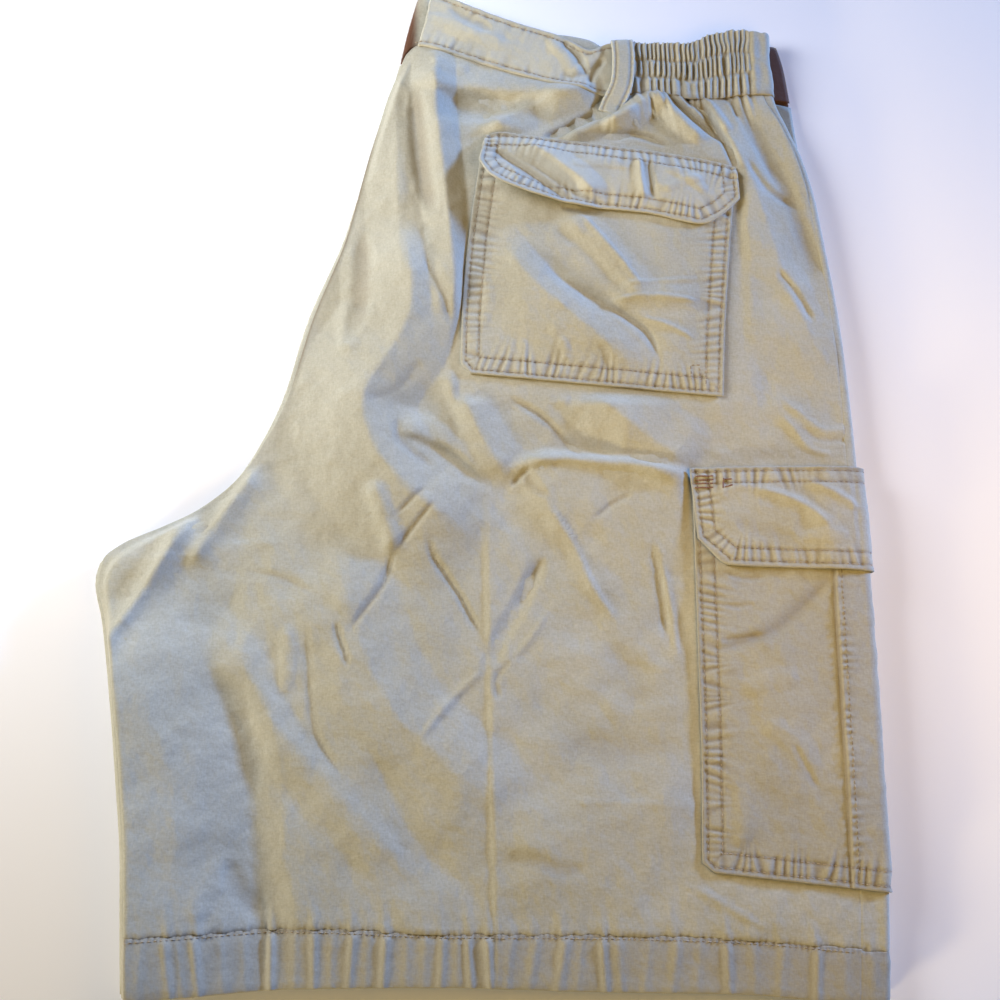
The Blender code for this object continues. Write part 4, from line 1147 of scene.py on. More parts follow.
def cargo_rise(x: Array, y: Array, pleat_start: float) -> Array:
    """Height of the cargo pocket above the leg, on top of the leg.

    Args:
        x: places on the unrolled cloth.
        y: places on the unrolled cloth.
        pleat_start: the x at which the cloth starts to rise toward the pleat's edge.
    Returns:
        The height at each place.
    """
    across = (x - CARGO_LEFT) / (CARGO_RIGHT - CARGO_LEFT)
    up = (y - CARGO_LOW) / (CARGO_TOP - CARGO_LOW)
    slack = ease(across / 0.2) * ease((1 - across) / 0.3) * ease(up / 0.15)
    pleat = PLEAT_RISE * ease((x - pleat_start) / (PLEAT_X - pleat_start))
    return GAP + CLOTH + (CARGO_PUFF + sum(fold.relief(x, y) for fold in CARGO_FOLDS) + pleat) * slack


@dataclass
class BackPocket(Cloth):
    """The patch pocket on the seat."""

    span: Point = (146.0, 132.0)

    def grid(self) -> tuple[Array, Array]:
        """Places between the pocket's left and right edges."""
        across, up = self.shares()
        left_x, left_y, right_x, right_y = (column(BACK_POCKET, k)(up) for k in (1, 2, 3, 4))
        return mix(left_x, right_x, across), mix(left_y, right_y, across)

    def rise(self, x: Array, y: Array) -> Array:
        """The pocket's slack, and the fine unevenness of its cloth."""
        return back_pocket_rise(x, y) + crinkle(x, y, 61)


@dataclass
class BackFlap(Cloth):
    """The flap of the back pocket, with a free corner that curls up."""

    span: Point = (150.0, 40.0)
    bulge: float = 1.6                  # how far its middle stands up
    curl: float = 16.0                  # how far its free corner curls up
    curl_start: Point = (5.0, 172.0)
    curl_way: Point = (0.55, 0.83)      # toward the corner, leftward and downward
    curl_reach: float = 32.0            # width over which it curls up
    curl_lead: float = 7.0              # how far before its start it begins to

    def grid(self) -> tuple[Array, Array]:
        """Places between the flap's seam and its lower edge."""
        across, up = self.shares()
        top_x, top_y, low_x, low_y = (column(BACK_FLAP, k)(across) for k in (1, 2, 3, 4))
        return mix(low_x, top_x, up), mix(low_y, top_y, up)

    def rise(self, x: Array, y: Array) -> Array:
        """Flat at its seam, over the pocket at its lower edge, and curled at its free corner."""
        across = np.clip((x + 1) / 147, 0, 1)
        top = column(BACK_FLAP, 2)(across)
        low = column(BACK_FLAP, 4)(across)
        up = np.clip((y - low) / (top - low), 0, 1)
        on_pocket = back_pocket_rise(x, y) + CLOTH + 2 * GAP
        rise = mix(on_pocket, GAP + CLOTH, ease((up - 0.75) / 0.25))
        bulge = self.bulge * np.sin(math.pi * across) * np.sin(math.pi * up)
        (start_x, start_y), (left, down) = self.curl_start, self.curl_way
        outward = ((start_x - x) * left + (start_y - y) * down + self.curl_lead) / self.curl_reach
        curl = self.curl * np.clip(outward, 0, 1)
        return rise + bulge + curl * (1 - up * up) + crinkle(x, y, 71)


@dataclass
class CargoPocket(Cloth):
    """The pleated patch pocket over the side fold."""

    span: Point = (104.0, 206.0)
    corner: float = 4.0             # how much its lower corner is cut off
    pucker: float = 0.4             # height of the puckers beside the pleat
    pucker_pitch: float = 5.6
    pleat_top: float = -62.0        # where the pleat's edge comes out from under the flap

    def grid(self) -> tuple[Array, Array]:
        """Places from the pocket's edge on the back panel round the side fold."""
        across, up = self.shares()
        y = np.zeros_like(across)
        for _ in range(6):
            end = LEG.top_right(y) - FOLD_RADIUS + math.pi * FOLD_RADIUS + ARC_TUCK
            x = mix(CARGO_LEFT - 1.0 + 1.5 * ease(up / 0.3), end, across)
            low = CARGO_LOW - CARGO_SLOPE * (np.minimum(x, 210) - CARGO_LEFT)
            cut = self.corner * np.clip(1 - across * 18, 0, 1)
            y = mix(low + cut, CARGO_TOP, up)
        return x, y

    def rise(self, x: Array, y: Array) -> Array:
        """Slack on top of the leg, with the step at the pleat's edge."""
        start = LEG.top_right(y) - FOLD_RADIUS
        on_top = cargo_rise(x, y, PLEAT_X - PLEAT_STEP)
        return mix(on_top, GAP + CLOTH, ease((x - start) / 3)) + crinkle(x, y, 81)

    def detail(self, x: Array, y: Array) -> Look:
        """The pleat's pressed edge stands beside a furrow with a painted shadow."""
        high, worn, dark = super().detail(x, y)
        lower = inside(y, CARGO_LOW - 75, self.pleat_top, 6)
        step = x - PLEAT_X - 0.5 * uneven(y, 30, 83)
        pucker = wave(y / self.pucker_pitch + 0.6 * uneven(y, 16, 84)) * (0.6 + 0.4 * uneven(y, 8, 85))
        reach = 3.5 + 2 * uneven(y, 7, 86)
        pinch = ease((step + 1) / 1.5) * np.exp(-np.clip(step - 3, 0, None) / reach) * lower
        edge = (0.3 * bell(step - 0.6, 0.8) - 0.7 * bell(step + 0.9, 0.8)) * lower
        high = high + edge + self.pucker * pucker * pinch
        worn = np.maximum(worn, 0.3 * bell(step - 0.5, 0.7) * lower)
        # painted shadow beside the pleat's edge, and painted shade in the pucker hollows
        dark = np.maximum(dark, 0.9 * bell(step + 0.8, 0.8) * lower)
        return high, worn, np.maximum(dark, 0.5 * np.clip(-pucker, 0, 1) * pinch)


@dataclass
class CargoFlap(Cloth):
    """The flap of the cargo pocket."""

    span: Point = (104.0, 56.0)
    on_top: float = 92.0        # its length up to the side fold
    bulge: float = 0.96         # how far its middle stands up

    def grid(self) -> tuple[Array, Array]:
        """Places from the flap's left edge round the side fold."""
        across, up = self.shares()
        wrap = math.pi * FOLD_RADIUS + ARC_TUCK
        length = self.on_top + wrap
        share = np.clip(across * length / (length - wrap), 0, 1)
        top_x, top_y, low_x, low_y = (column(CARGO_FLAP, k)(share * 0.94) for k in (1, 2, 3, 4))
        y = mix(low_y, top_y, up)
        end = LEG.top_right(y) - FOLD_RADIUS
        x = mix(mix(low_x, top_x, up), end, ease((share - 0.7) / 0.3))
        return x + np.clip(across * length - (length - wrap), 0, None), y

    def rise(self, x: Array, y: Array) -> Array:
        """Over the pocket, and bulged in its middle."""
        share = np.clip((x - CARGO_LEFT) / (CARGO_RIGHT - CARGO_LEFT), 0, 1)
        up = np.clip((y + 68) / 54, 0, 1)
        start = LEG.top_right(y) - FOLD_RADIUS
        bulge = self.bulge * np.sin(math.pi * share) * np.sin(math.pi * up)
        on_top = cargo_rise(x, y, PLEAT_X - PLEAT_SOFT) + CLOTH + GAP + 0.3 + bulge
        round_fold = 2 * (GAP + CLOTH) + 0.2
        return mix(on_top, round_fold, ease((x - start + 4) / 4)) + crinkle(x, y, 91)


# belt loop: x, y and height above the leg of its middle line
BELT_LOOP = (
    (73.6, 201.5, 1.9), (75.2, 206.0, 2.4), (78.6, 213.0, 3.6), (81.2, 220.0, 4.3), (82.4, 229.0, 4.5),
    (82.7, 238.0, 4.3), (82.4, 245.0, 3.6), (82.2, 249.0, 2.4), (82.1, 250.6, 1.0), (82.1, 250.9, -0.8),
)


@dataclass
class BeltLoop(Cloth):
    """A belt loop of doubled cloth, with a stitch row along each side."""

    wall: float = 1.4
    width: float = 12.0
    cells: tuple[int, int] = (24, 96)
    row: float = 1.7            # how far in from its edges the stitches run
    row_width: float = 0.6
    puff: float = 0.35          # how far its middle stands up
    furrow: float = 0.3         # how deep the stitches pull it in
    pucker: float = 0.14
    puckers: float = 17         # along its length

    def middle(self, share: Array) -> tuple[Array, Array, Array, Array, Array]:
        """Follow the loop's middle line.

        Args:
            share: how far along it, as shares of its length.
        Returns:
            x, y and z, and the line's direction in x and y.
        """
        rows = np.array(BELT_LOOP)
        z = LEG.height(rows[:, 0], np.minimum(rows[:, 1], LEG.waist_top(rows[:, 0]) - 2)) + rows[:, 2]
        steps = np.linalg.norm(np.diff(np.column_stack((rows[:, :2], z)), axis=0), axis=1)
        at = np.concatenate(([0.0], np.cumsum(steps))) / steps.sum()
        x, y, height = (Curve(at, values)(share) for values in (rows[:, 0], rows[:, 1], z))
        along_x = Curve(rows[:, 1], np.gradient(rows[:, 0]))(y)
        along_y = Curve(rows[:, 1], np.maximum(np.gradient(rows[:, 1]), 1.5))(y)
        size = np.hypot(along_x, along_y)
        return x, y, height, along_x / size, along_y / size

    def face(self, across: Array, up: Array) -> Array:
        """The outer face at shares across and up the loop."""
        x, y, z, along_x, along_y = self.middle(up)
        side = self.width * (across - 0.5)
        from_edge = self.width * (0.5 - np.abs(across - 0.5))
        pull = self.pucker * wave(up * self.puckers + 0.4 * uneven(up, 0.1, 95))
        puff = self.puff * ease((from_edge - 1.6) / 2)
        high = puff - self.furrow * bell(from_edge - self.row, self.row_width) + pull * bell(from_edge, 2)
        return np.stack((x + along_y * side, y - along_x * side, z + high), -1)

    def build(self) -> bpy.types.Object:
        """Make the loop and put it in place of its solid."""
        across, up = shares(*self.cells)
        from_edge = self.width * (0.5 - np.abs(across - 0.5))
        worn = 0.8 * bell(from_edge, 0.9) + 0.4 * bell(up - 1, 0.03) + 0.4 * bell(up, 0.02)
        tint = np.stack((worn, 0.7 * bell(from_edge - self.row, self.row_width), np.zeros_like(worn)), -1)
        outer = self.face(across.ravel(), up.ravel()).reshape(*across.shape, 3)
        self.piece = Shell.mesh(self.node + "_cloth", outer, self.wall, tint)
        self.claim()
        return self.piece


@dataclass(frozen=True)
class Level:
    """The edge of the hidden layers at one height."""

    height: float               # above the surface, away from the side fold
    inseam: float               # how far in it lies on the inseam side
    ends: float                 # at the hem and the waist
    fold: float                 # at the side fold
    tucked: bool = False        # whether that is measured from the top layer, where it tucks under
    room: float = 0.0           # its height at the side fold, as a share of the room under the tuck
    lift: float = 0.0           # or above the middle of the fold over it


LEVELS = (
    Level(0.0, 2.0, 1.8, 2.4), Level(0.7, 0.6, 0.6, 0.8, room=0.16), Level(1.9, 0.2, 0.3, 0.2, room=0.45),
    Level(2.7, 2.2, 1.8, 0.6, room=0.70), Level(3.5, 0.4, 0.5, 2.0, room=0.94),
    Level(4.6, 0.3, 0.5, 15.0, True, room=1.00), Level(5.4, 2.2, 1.9, 15.0, True, lift=-1.7),
    Level(6.2, 0.6, 0.8, 4.6, True, lift=-1.4), Level(7.3, 0.8, 1.2, 2.6, True, lift=0.2),
)
ROOF = Level(0.0, 2.8, 2.8, FOLD_RADIUS + 1.2, True)        # only its outline counts


@dataclass
class Stack:
    """Hidden layers of cloth as one rounded body, layered at its edges and flat underneath."""

    node: str
    slot: str
    low: Line
    high: Line
    wrap: Callable[[Array], Array]      # how thick what tucks under it at the side fold is
    columns: int
    rows: int
    flat: tuple[float, float]
    brown: bool = False                 # whether the waistband's facing shows at its ends

    slit: ClassVar[float] = 0.5         # left between it and what tucks under it
    clear: ClassVar[float] = 2.6        # how far it stays below the top of the leg
    around: ClassVar[tuple[float, ...]] = (-11.0, -5.5, 0.0, 5.5, 11.0)     # where that is measured

    def place(self, across: Array, up: Array, level: Level) -> tuple[Array, Array]:
        """Places in the stack with its edges moved in.

        Args:
            across: shares across the stack.
            up: shares up it.
            level: how far in each edge lies.
        Returns:
            The places across and up the folded garment.
        """

        def x_at(y: Array) -> Array:
            """The place across the stack at each height up it."""
            slope = (LEG.left(y + 1) - LEG.left(y - 1)) / 2
            left = LEG.left(y) + level.inseam * np.sqrt(1 + slope * slope)
            edge = np.minimum(LEG.top_right(y), LEG.right(y)) if level.tucked else LEG.right(y)
            return mix(left, edge - level.fold, across)

        ends = []
        for line, inward in ((self.low, level.ends), (self.high, -level.ends)):
            y = line(np.full_like(across, 60.0)) + inward
            for _ in range(12):
                y = line(x_at(y)) + inward
            ends.append(y)
        y = mix(*ends, up)
        return x_at(y), y

    def floor_under(self, x: Array, y: Array) -> Array:
        """Height that stays clear below the top layer near a place."""
        lowest = np.full(len(x), PLATEAU * 2)
        for dx in self.around:
            for dy in self.around:
                at_y = y + dy
                at_x = np.clip(x + dx, LEG.top_left(at_y) + 1, LEG.top_right(at_y) - FOLD_RADIUS)
                lowest = np.minimum(lowest, LEG.height(at_x, at_y))
        return lowest - self.clear

    def build(self) -> bpy.types.Object:
        """Make the body and put it in place of its solid."""
        rim = Shell.rim(self.rows, self.columns)
        j, i = np.array(rim).T
        across, up = i / self.columns, j / self.rows
        rings = []
        for level in LEVELS:
            x, y = self.place(across, up, level)
            room = LEG.fold_z(y) - FOLD_RADIUS - self.wrap(y) - self.slit
            at_fold = LEG.fold_z(y) + level.lift if level.lift else room * level.room
            rings.append(np.stack((x, y, mix(level.height, at_fold, ease((across - 0.7) / 0.3))), -1))
        grid_across, grid_up = shares(self.columns, self.rows)
        roof_x, roof_y = self.place(grid_across.ravel(), grid_up.ravel(), ROOF)
        roof = np.stack((roof_x, roof_y, self.floor_under(roof_x, roof_y)), -1)
        roof = roof.reshape(self.rows + 1, self.columns + 1, 3)
        rings.append(roof[j, i])
        rings = self.rounded(np.array(rings))
        faces: list[list[int]] = []
        count = len(rim)
        for k in range(len(rings) - 1):
            a = np.arange(k * count, (k + 1) * count)
            b = a + count
            faces += np.stack((a, np.roll(a, -1), np.roll(b, -1), b), -1).tolist()
        faces.append(list(range(count - 1, -1, -1)))
        last = (len(rings) - 1) * count
        index = {place: last + k for k, place in enumerate(rim)}
        points = [rings.reshape(-1, 3)]
        extra = len(rings) * count
        for a in range(1, self.rows):
            for b in range(1, self.columns):
                index[a, b] = extra
                extra += 1
        points.append(roof[1:-1, 1:-1].reshape(-1, 3))
        for a in range(self.rows):
            for b in range(self.columns):
                faces.append([index[a, b], index[a, b + 1], index[a + 1, b + 1], index[a + 1, b]])
        points = np.vstack(points)
        piece = new_piece(self.node + "_cloth", points, faces, self.tint(points))
        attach(piece, "root")
        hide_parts(self.node)
        return piece

    @staticmethod
    def rounded(rings: Array, parts: int = 3) -> Array:
        """More rings between the levels, on a smooth curve from the surface up."""
        p = np.concatenate((rings[:1], rings, rings[-1:]))
        more = [rings[0]]
        for a, b, c, d in zip(p, p[1:], p[2:], p[3:]):
            for k in range(1, parts + 1):
                more.append(through(a, b, c, d, k / parts))
        return np.array(more)

    def tint(self, points: Array) -> Array:
        """Painted shade between the layers, and brown where the band's facing shows."""
        x, y, z = points.T
        # painted shade in the grooves between the layers
        dark = 0.7 * (bell(z - 2.7, 0.5) + bell(z - 5.4, 0.5))
        brown = np.zeros(len(points))
        if self.brown:
            brown = np.maximum(ease((-38 - x) / 6), ease((x - 164) / 4))
        return np.stack((np.zeros(len(points)), dark, brown), -1)


# ---- stitches ----

@dataclass
class Topstitch:
    """Rows of stitches on one piece, as joined thread."""

    name: str
    cloth: Cloth
    length: float = 2.1
    pitch: float = 2.8          # from one stitch to the next
    radius: float = 0.28
    red: float = 0.0            # share of the bartacks' redder thread
    points: list[Array] = field(default_factory=list, init=False)
    faces: list[list[int]] = field(default_factory=list, init=False)
    tones: list[Array] = field(default_factory=list, init=False)

    sides: ClassVar[int] = 5
    flatness: ClassVar[float] = 0.8         # height of the thread for its width
    lift: ClassVar[float] = 0.1             # how far its middle lies above the cloth
    probe: ClassVar[float] = 0.4            # how far round a stitch the cloth is felt for its slope
    # along a stitch: place, thickness and height, as shares of half its length and of its radius
    profile: ClassVar[tuple[tuple[float, float, float], ...]] = (
        (-1.0, 0.25, -0.9), (-0.7, 0.85, 0.05), (0.0, 1.0, 0.35), (0.7, 0.85, 0.05), (1.0, 0.25, -0.9),
    )

    def stitch(self, middle: Array, way: Array, normal: Array, length: float, tone: float) -> None:
        """Add one stitch.

        Args:
            middle: its place in space.
            way: the direction that it runs in.
            normal: the direction away from the cloth.
            length: from end to end.
            tone: how washed out it is.
        """
        side = np.cross(normal, way)
        first = sum(len(block) for block in self.points)
        block = []
        for along, thick, high in self.profile:
            centre = middle + way * along * length / 2 + normal * high * self.radius
            for k in range(self.sides):
                angle = 2 * math.pi * k / self.sides
                outward = side * math.cos(angle) + normal * self.flatness * math.sin(angle)
                block.append(centre + outward * thick * self.radius)
        self.points.append(np.array(block))
        self.tones.append(np.full(len(block), tone))
        for ring in range(len(self.profile) - 1):
            for k in range(self.sides):
                a, b = first + ring * self.sides + k, first + ring * self.sides + (k + 1) % self.sides
                self.faces.append([a, b, b + self.sides, a + self.sides])
        self.faces.append([first + k for k in range(self.sides - 1, -1, -1)])
        end = first + (len(self.profile) - 1) * self.sides
        self.faces.append([end + k for k in range(self.sides)])

    def row(self, track: Track, seed: int) -> None:
        """Sew along a path.

        Args:
            track: the path on the unrolled cloth.
            seed: for the small differences between stitches.
        """
        chance = np.random.default_rng(seed)
        count = max(1, int(track.length / self.pitch))
        along = (np.arange(count) + 0.5) * track.length / count + chance.uniform(-0.15, 0.15, count)
        places, ways = track.at(np.clip(along, 0, track.length))
        left = np.stack((-ways[:, 1], ways[:, 0]), 1)
        middle, ahead, behind, aside, other = (
            self.cloth.surface(*(places + step * self.probe).T)
            for step in (np.zeros_like(ways), ways, -ways, left, -left))
        way = ahead - behind
        way /= np.linalg.norm(way, axis=1, keepdims=True)
        normal = np.cross(way, aside - other)
        normal /= np.linalg.norm(normal, axis=1, keepdims=True)
        for k in range(count):
            length = self.length * chance.uniform(0.85, 1.1)
            place = middle[k] + normal[k] * self.lift
            self.stitch(place, way[k], normal[k], length, chance.uniform(0, 1))

    def build(self) -> bpy.types.Object:
        """Join the stitches into one piece."""
        tone = np.concatenate(self.tones)
        tint = np.stack((tone, np.zeros_like(tone), np.full_like(tone, self.red)), -1)
        piece = new_piece(self.name, np.vstack(self.points), self.faces, tint)
        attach(piece, "root")
        return piece


# ---- finishes ----

def linear(code: str) -> tuple[float, float, float, float]:
    """An sRGB hex colour as linear values."""
    channels = [int(code[i:i + 2], 16) / 255 for i in (1, 3, 5)]
    return (*[c / 12.92 if c <= 0.04045 else ((c + 0.055) / 1.055) ** 2.4 for c in channels], 1.0)


def add_node(tree: bpy.types.NodeTree, kind: str, settings: dict | None = None,
             links: dict | None = None) -> bpy.types.Node:
    """Add a node.

    Args:
        tree: where it goes.
        kind: its type.
        settings: its properties, or the values of its inputs.
        links: the output that feeds each input.
    Returns:
        The node.
    """
    node = tree.nodes.new(kind)
    for name, value in (settings or {}).items():
        if isinstance(name, str) and hasattr(node, name):
            setattr(node, name, value)
        else:
            node.inputs[name].default_value = value
    for name, output in (links or {}).items():
        tree.links.new(output, node.inputs[name])
    return node


@dataclass(frozen=True)
class WashedTwill:
    """Cotton twill that many washes have softened: matt, with a faint nap and pale worn edges."""

    name: str = "washed_cotton_twill"
    base: str = "#b8b6a4"
    deep: str = "#9d9b8a"
    # pale of worn edges and crests, also used as painted light on the waistband and back flap
    worn: str = "#c4c3b0"
    # painted shade: the colour that creases, seam furrows, pucker hollows, the band seams, the gaps between
    # layers and the lower right are darkened toward; it also draws the belt loop's stitch rows
    furrow: str = "#6b5b45"
    # the waistband's brown facing, made as dark as it shows in the gap: its own colour and painted shade
    facing: str = "#5a3a26"
    thread_mm: float = 0.8      # real yarn is nearer 0.4 mm, which is too fine to show
    slub_mm: float = 2.4
    rumple_mm: float = 5.6
    cloud_mm: float = 45.0      # size of the patches that washing fades unlike
    twill_depth: float = 0.00018        # metres
    rumple_depth: float = 0.0009        # metres
    roughness: float = 0.86
    specular: float = 0.3
    sheen: float = 0.25
    nap: float = 0.45           # roughness of the sheen

    def material(self) -> bpy.types.Material:
        """The cloth, from its weave up to its fading, with the painted light and painted shade that its
        attribute carries.
        """
        material = bpy.data.materials.new(self.name)
        material.use_nodes = True
        tree = material.node_tree
        shader = tree.nodes["Principled BSDF"]
        place = add_node(tree, "ShaderNodeTexCoord").outputs["Object"]
        fine, long = 1 / (self.thread_mm * MM), 1 / (self.slub_mm * MM)
        yarns = []
        for scale in ((fine, long, fine), (long, fine, fine)):
            stretch = add_node(tree, "ShaderNodeMapping", {"Scale": scale}, {"Vector": place})
            yarns.append(add_node(tree, "ShaderNodeTexNoise", {"Scale": 1.0, "Detail": 1.5, "Roughness": 0.6},
                                  {"Vector": stretch.outputs[0]}).outputs["Fac"])
        weave = add_node(tree, "ShaderNodeMath", {"operation": "ADD"}, {0: yarns[0], 1: yarns[1]}).outputs[0]
        rumpled = add_node(tree, "ShaderNodeTexNoise",
                           {"Scale": 1 / (self.rumple_mm * MM), "Detail": 2.0, "Roughness": 0.5},
                           {"Vector": place}).outputs["Fac"]
        cloud = add_node(tree, "ShaderNodeTexNoise",
                         {"Scale": 1 / (self.cloud_mm * MM), "Detail": 3.0, "Roughness": 0.6},
                         {"Vector": place}).outputs["Fac"]
        patch = add_node(tree, "ShaderNodeMapRange", {1: 0.35, 2: 0.65}, {0: cloud}).outputs[0]
        streak = add_node(tree, "ShaderNodeMapRange", {1: 0.65, 2: 1.4}, {0: weave}).outputs[0]
        tone = add_node(tree, "ShaderNodeMath", {"operation": "MULTIPLY_ADD", 1: 0.45}, {0: patch, 2: streak})
        half = add_node(tree, "ShaderNodeMath", {"operation": "MULTIPLY", 1: 0.65}, {0: tone.outputs[0]})
        wear_and_painted_shading = add_node(tree, "ShaderNodeAttribute", {"attribute_name": "wear_and_painted_shading"})
        parts = add_node(tree, "ShaderNodeSeparateColor", None, {"Color": wear_and_painted_shading.outputs["Color"]}).outputs
        colour = add_node(tree, "ShaderNodeMix", {"data_type": "RGBA", 6: linear(self.deep),
                                                  7: linear(self.base)}, {0: half.outputs[0]}).outputs[2]
        # first share: worn cloth and painted light; second: painted shade; third: the band's brown facing
        for share, code, strength in ((parts[0], self.worn, 0.75), (parts[1], self.furrow, 0.62),
                                      (parts[2], self.facing, 1.0)):
            amount = add_node(tree, "ShaderNodeMath", {"operation": "MULTIPLY", 1: strength}, {0: share})
            colour = add_node(tree, "ShaderNodeMix", {"data_type": "RGBA", 7: linear(code)},
                              {0: amount.outputs[0], 6: colour}).outputs[2]
        tree.links.new(colour, shader.inputs["Base Color"])
        crumple = add_node(tree, "ShaderNodeBump", {"Strength": 0.6, "Distance": self.rumple_depth},
                           {"Height": rumpled})
        twill = add_node(tree, "ShaderNodeBump", {"Strength": 0.12, "Distance": self.twill_depth},
                         {"Height": weave, "Normal": crumple.outputs[0]})
        tree.links.new(twill.outputs[0], shader.inputs["Normal"])
        shader.inputs["Roughness"].default_value = self.roughness
        shader.inputs["Specular IOR Level"].default_value = self.specular
        shader.inputs["Sheen Weight"].default_value = self.sheen
        shader.inputs["Sheen Roughness"].default_value = self.nap
        return material


@dataclass(frozen=True)
class SewingThread:
    """Spun polyester thread: brown, a little glossier than the cloth, each stitch washed out differently."""

    name: str = "spun_polyester_thread"
    base: str = "#82735b"
    fade_and_painted_light: str = "#a89b84"
    bartack: str = "#76493a"
    roughness: float = 0.6

    def material(self) -> bpy.types.Material:
        """The thread."""
        material = bpy.data.materials.new(self.name)
        material.use_nodes = True
        tree = material.node_tree
        shader = tree.nodes["Principled BSDF"]
        wear_and_painted_shading = add_node(tree, "ShaderNodeAttribute", {"attribute_name": "wear_and_painted_shading"})
        tone = add_node(tree, "ShaderNodeSeparateColor", None, {"Color": wear_and_painted_shading.outputs["Color"]}).outputs
        colour = add_node(tree, "ShaderNodeMix", {"data_type": "RGBA", 6: linear(self.base),
                                                  7: linear(self.fade_and_painted_light)}, {0: tone[0]}).outputs[2]
        colour = add_node(tree, "ShaderNodeMix", {"data_type": "RGBA", 7: linear(self.bartack)},
                          {0: tone[2], 6: colour}).outputs[2]
        tree.links.new(colour, shader.inputs["Base Color"])
        shader.inputs["Roughness"].default_value = self.roughness
        return material


# ---- studio ----

@dataclass(frozen=True)
class Lamp:
    """A soft rectangular light that looks at the middle of the garment."""

    name: str
    place: tuple[float, float, float]
    size: tuple[float, float]
    watts: float
    colour: str
    aim: tuple[float, float, float] = (0.0, 0.0, 0.0)

    def build(self) -> None:
        """Hang the light."""
        data = bpy.data.lights.new(self.name, "AREA")
        data.shape = "RECTANGLE"
        data.size, data.size_y = self.size
        data.energy = self.watts
        data.color = linear(self.colour)[:3]
        lamp = bpy.data.objects.new(self.name, data)
        lamp.location = self.place
        lamp.rotation_euler = (Vector(self.aim) - Vector(self.place)).to_track_quat("-Z", "Y").to_euler()
        bpy.context.scene.collection.objects.link(lamp)


@dataclass(frozen=True)
class Studio:
    """The floor, lights and camera."""

    eye_mm: tuple[float, float, float] = (9.4, -163.4, 639.1)
    aim_mm: tuple[float, float, float] = (9.4, -29.5, 9.2)
    lens_mm: float = 42.0
    floor: str = "#f4f4f3"
    sky: str = "#eef1f6"
    sky_strength: float = 0.06
    lamps: tuple[Lamp, ...] = (
        Lamp("key_softbox", (-0.45, 0.31, 0.34), (0.3, 0.3), 5.3, "#f0f3ff"),
        Lamp("side_bounce", (0.29, -0.07, 0.34), (0.3, 0.3), 0.95, "#ffd070"),
        Lamp("low_warm_lamp", (-2.18, -1.96, 0.624), (0.6, 0.3), 66.0, "#ffe8b5"),
        Lamp("far_window", (2.66, 1.24, 0.624), (0.6, 0.3), 165.0, "#78acff"),
    )

    def build(self) -> None:
        """Set the studio up."""
        self.lay_floor()
        self.light()
        bpy.context.scene.view_settings.view_transform = "Standard"
        self.set_camera()

    def lay_floor(self) -> None:
        """Lay a matt white board just under the garment."""
        mesh = bpy.data.meshes.new("floor")
        mesh.from_pydata([(-3, -3, 0), (3, -3, 0), (3, 3, 0), (-3, 3, 0)], [], [(0, 1, 2, 3)])
        floor = bpy.data.objects.new("floor", mesh)
        bpy.context.scene.collection.objects.link(floor)
        floor.location.z = -0.0002
        paint = bpy.data.materials.new("matt_white_board")
        paint.use_nodes = True
        shader = paint.node_tree.nodes["Principled BSDF"]
        shader.inputs["Base Color"].default_value = linear(self.floor)
        shader.inputs["Roughness"].default_value = 0.95
        mesh.materials.append(paint)

    def light(self) -> None:
        """Fill the room with a little even light, and hang the lamps."""
        world = bpy.data.worlds.new("studio")
        world.use_nodes = True
        world.node_tree.nodes["Background"].inputs[0].default_value = linear(self.sky)
        world.node_tree.nodes["Background"].inputs[1].default_value = self.sky_strength
        bpy.context.scene.world = world
        for lamp in self.lamps:
            lamp.build()

    def set_camera(self) -> None:
        """Look down on the garment from its hem."""
        data = bpy.data.cameras.new("camera")
        data.lens = self.lens_mm
        data.sensor_width = 36.0
        camera = bpy.data.objects.new("camera", data)
        eye, aim = Vector(self.eye_mm) * MM, Vector(self.aim_mm) * MM
        camera.location = eye
        camera.rotation_euler = (aim - eye).to_track_quat("-Z", "Y").to_euler()
        bpy.context.scene.collection.objects.link(camera)
        bpy.context.scene.camera = camera


# ---- seams of the pieces ----

POCKET_EDGE = (*(row[1:3] for row in reversed(BACK_POCKET)), (60, 35), *(row[3:5] for row in BACK_POCKET))
FLAP_EDGE = (BACK_FLAP[0][1:3], *(row[3:5] for row in BACK_FLAP), BACK_FLAP[-1][1:3])
FLAP_TOP = ((146, 166), (125, 171), (92, 176.5), (60, 181), (38, 184), (21, 186.5), (8, 187.5), (1, 186))
CARGO_EDGE = ((115.5, -24), (115.5, -150), (114.2, -215), (114, -221), (119, -225.5), (165, -230.5),
              (224, -237))
CARGO_FLAP_EDGE = ((114, -14), (117, -52), (133, -66.5), (166, -68), (212, -69.5), (226, -70))
CARGO_FLAP_TOP = ((226, -13.5), (164, -13), (114, -14))

BARTACKS = (
    ((116.4, -17.9), (125.7, -17.9)), ((125.7, -19.9), (116.3, -19.9)), ((116.3, -21.9), (125.6, -21.9)),
    ((125.5, -24.1), (116.2, -24.1)), ((132.3, -19.6), (136.1, -19.6)),
    ((136.0, -23.0), (132.1, -24.1)), ((131.7, -19.1), (131.0, -24.7)),
)
POCKET_SQUARE = ((115.7, 45.7), (120.8, 45.7), (121.0, 37.5), (116.0, 37.5), (115.7, 45.7))


def band_line(curve: Curve, low: float, high: float, back: bool = False) -> tuple[Point, ...]:
    """Points along one line of the waist or hem."""
    xs = np.linspace(low, high, 24)
    points = [(float(x), float(curve(x))) for x in xs]
    return tuple(reversed(points)) if back else tuple(points)


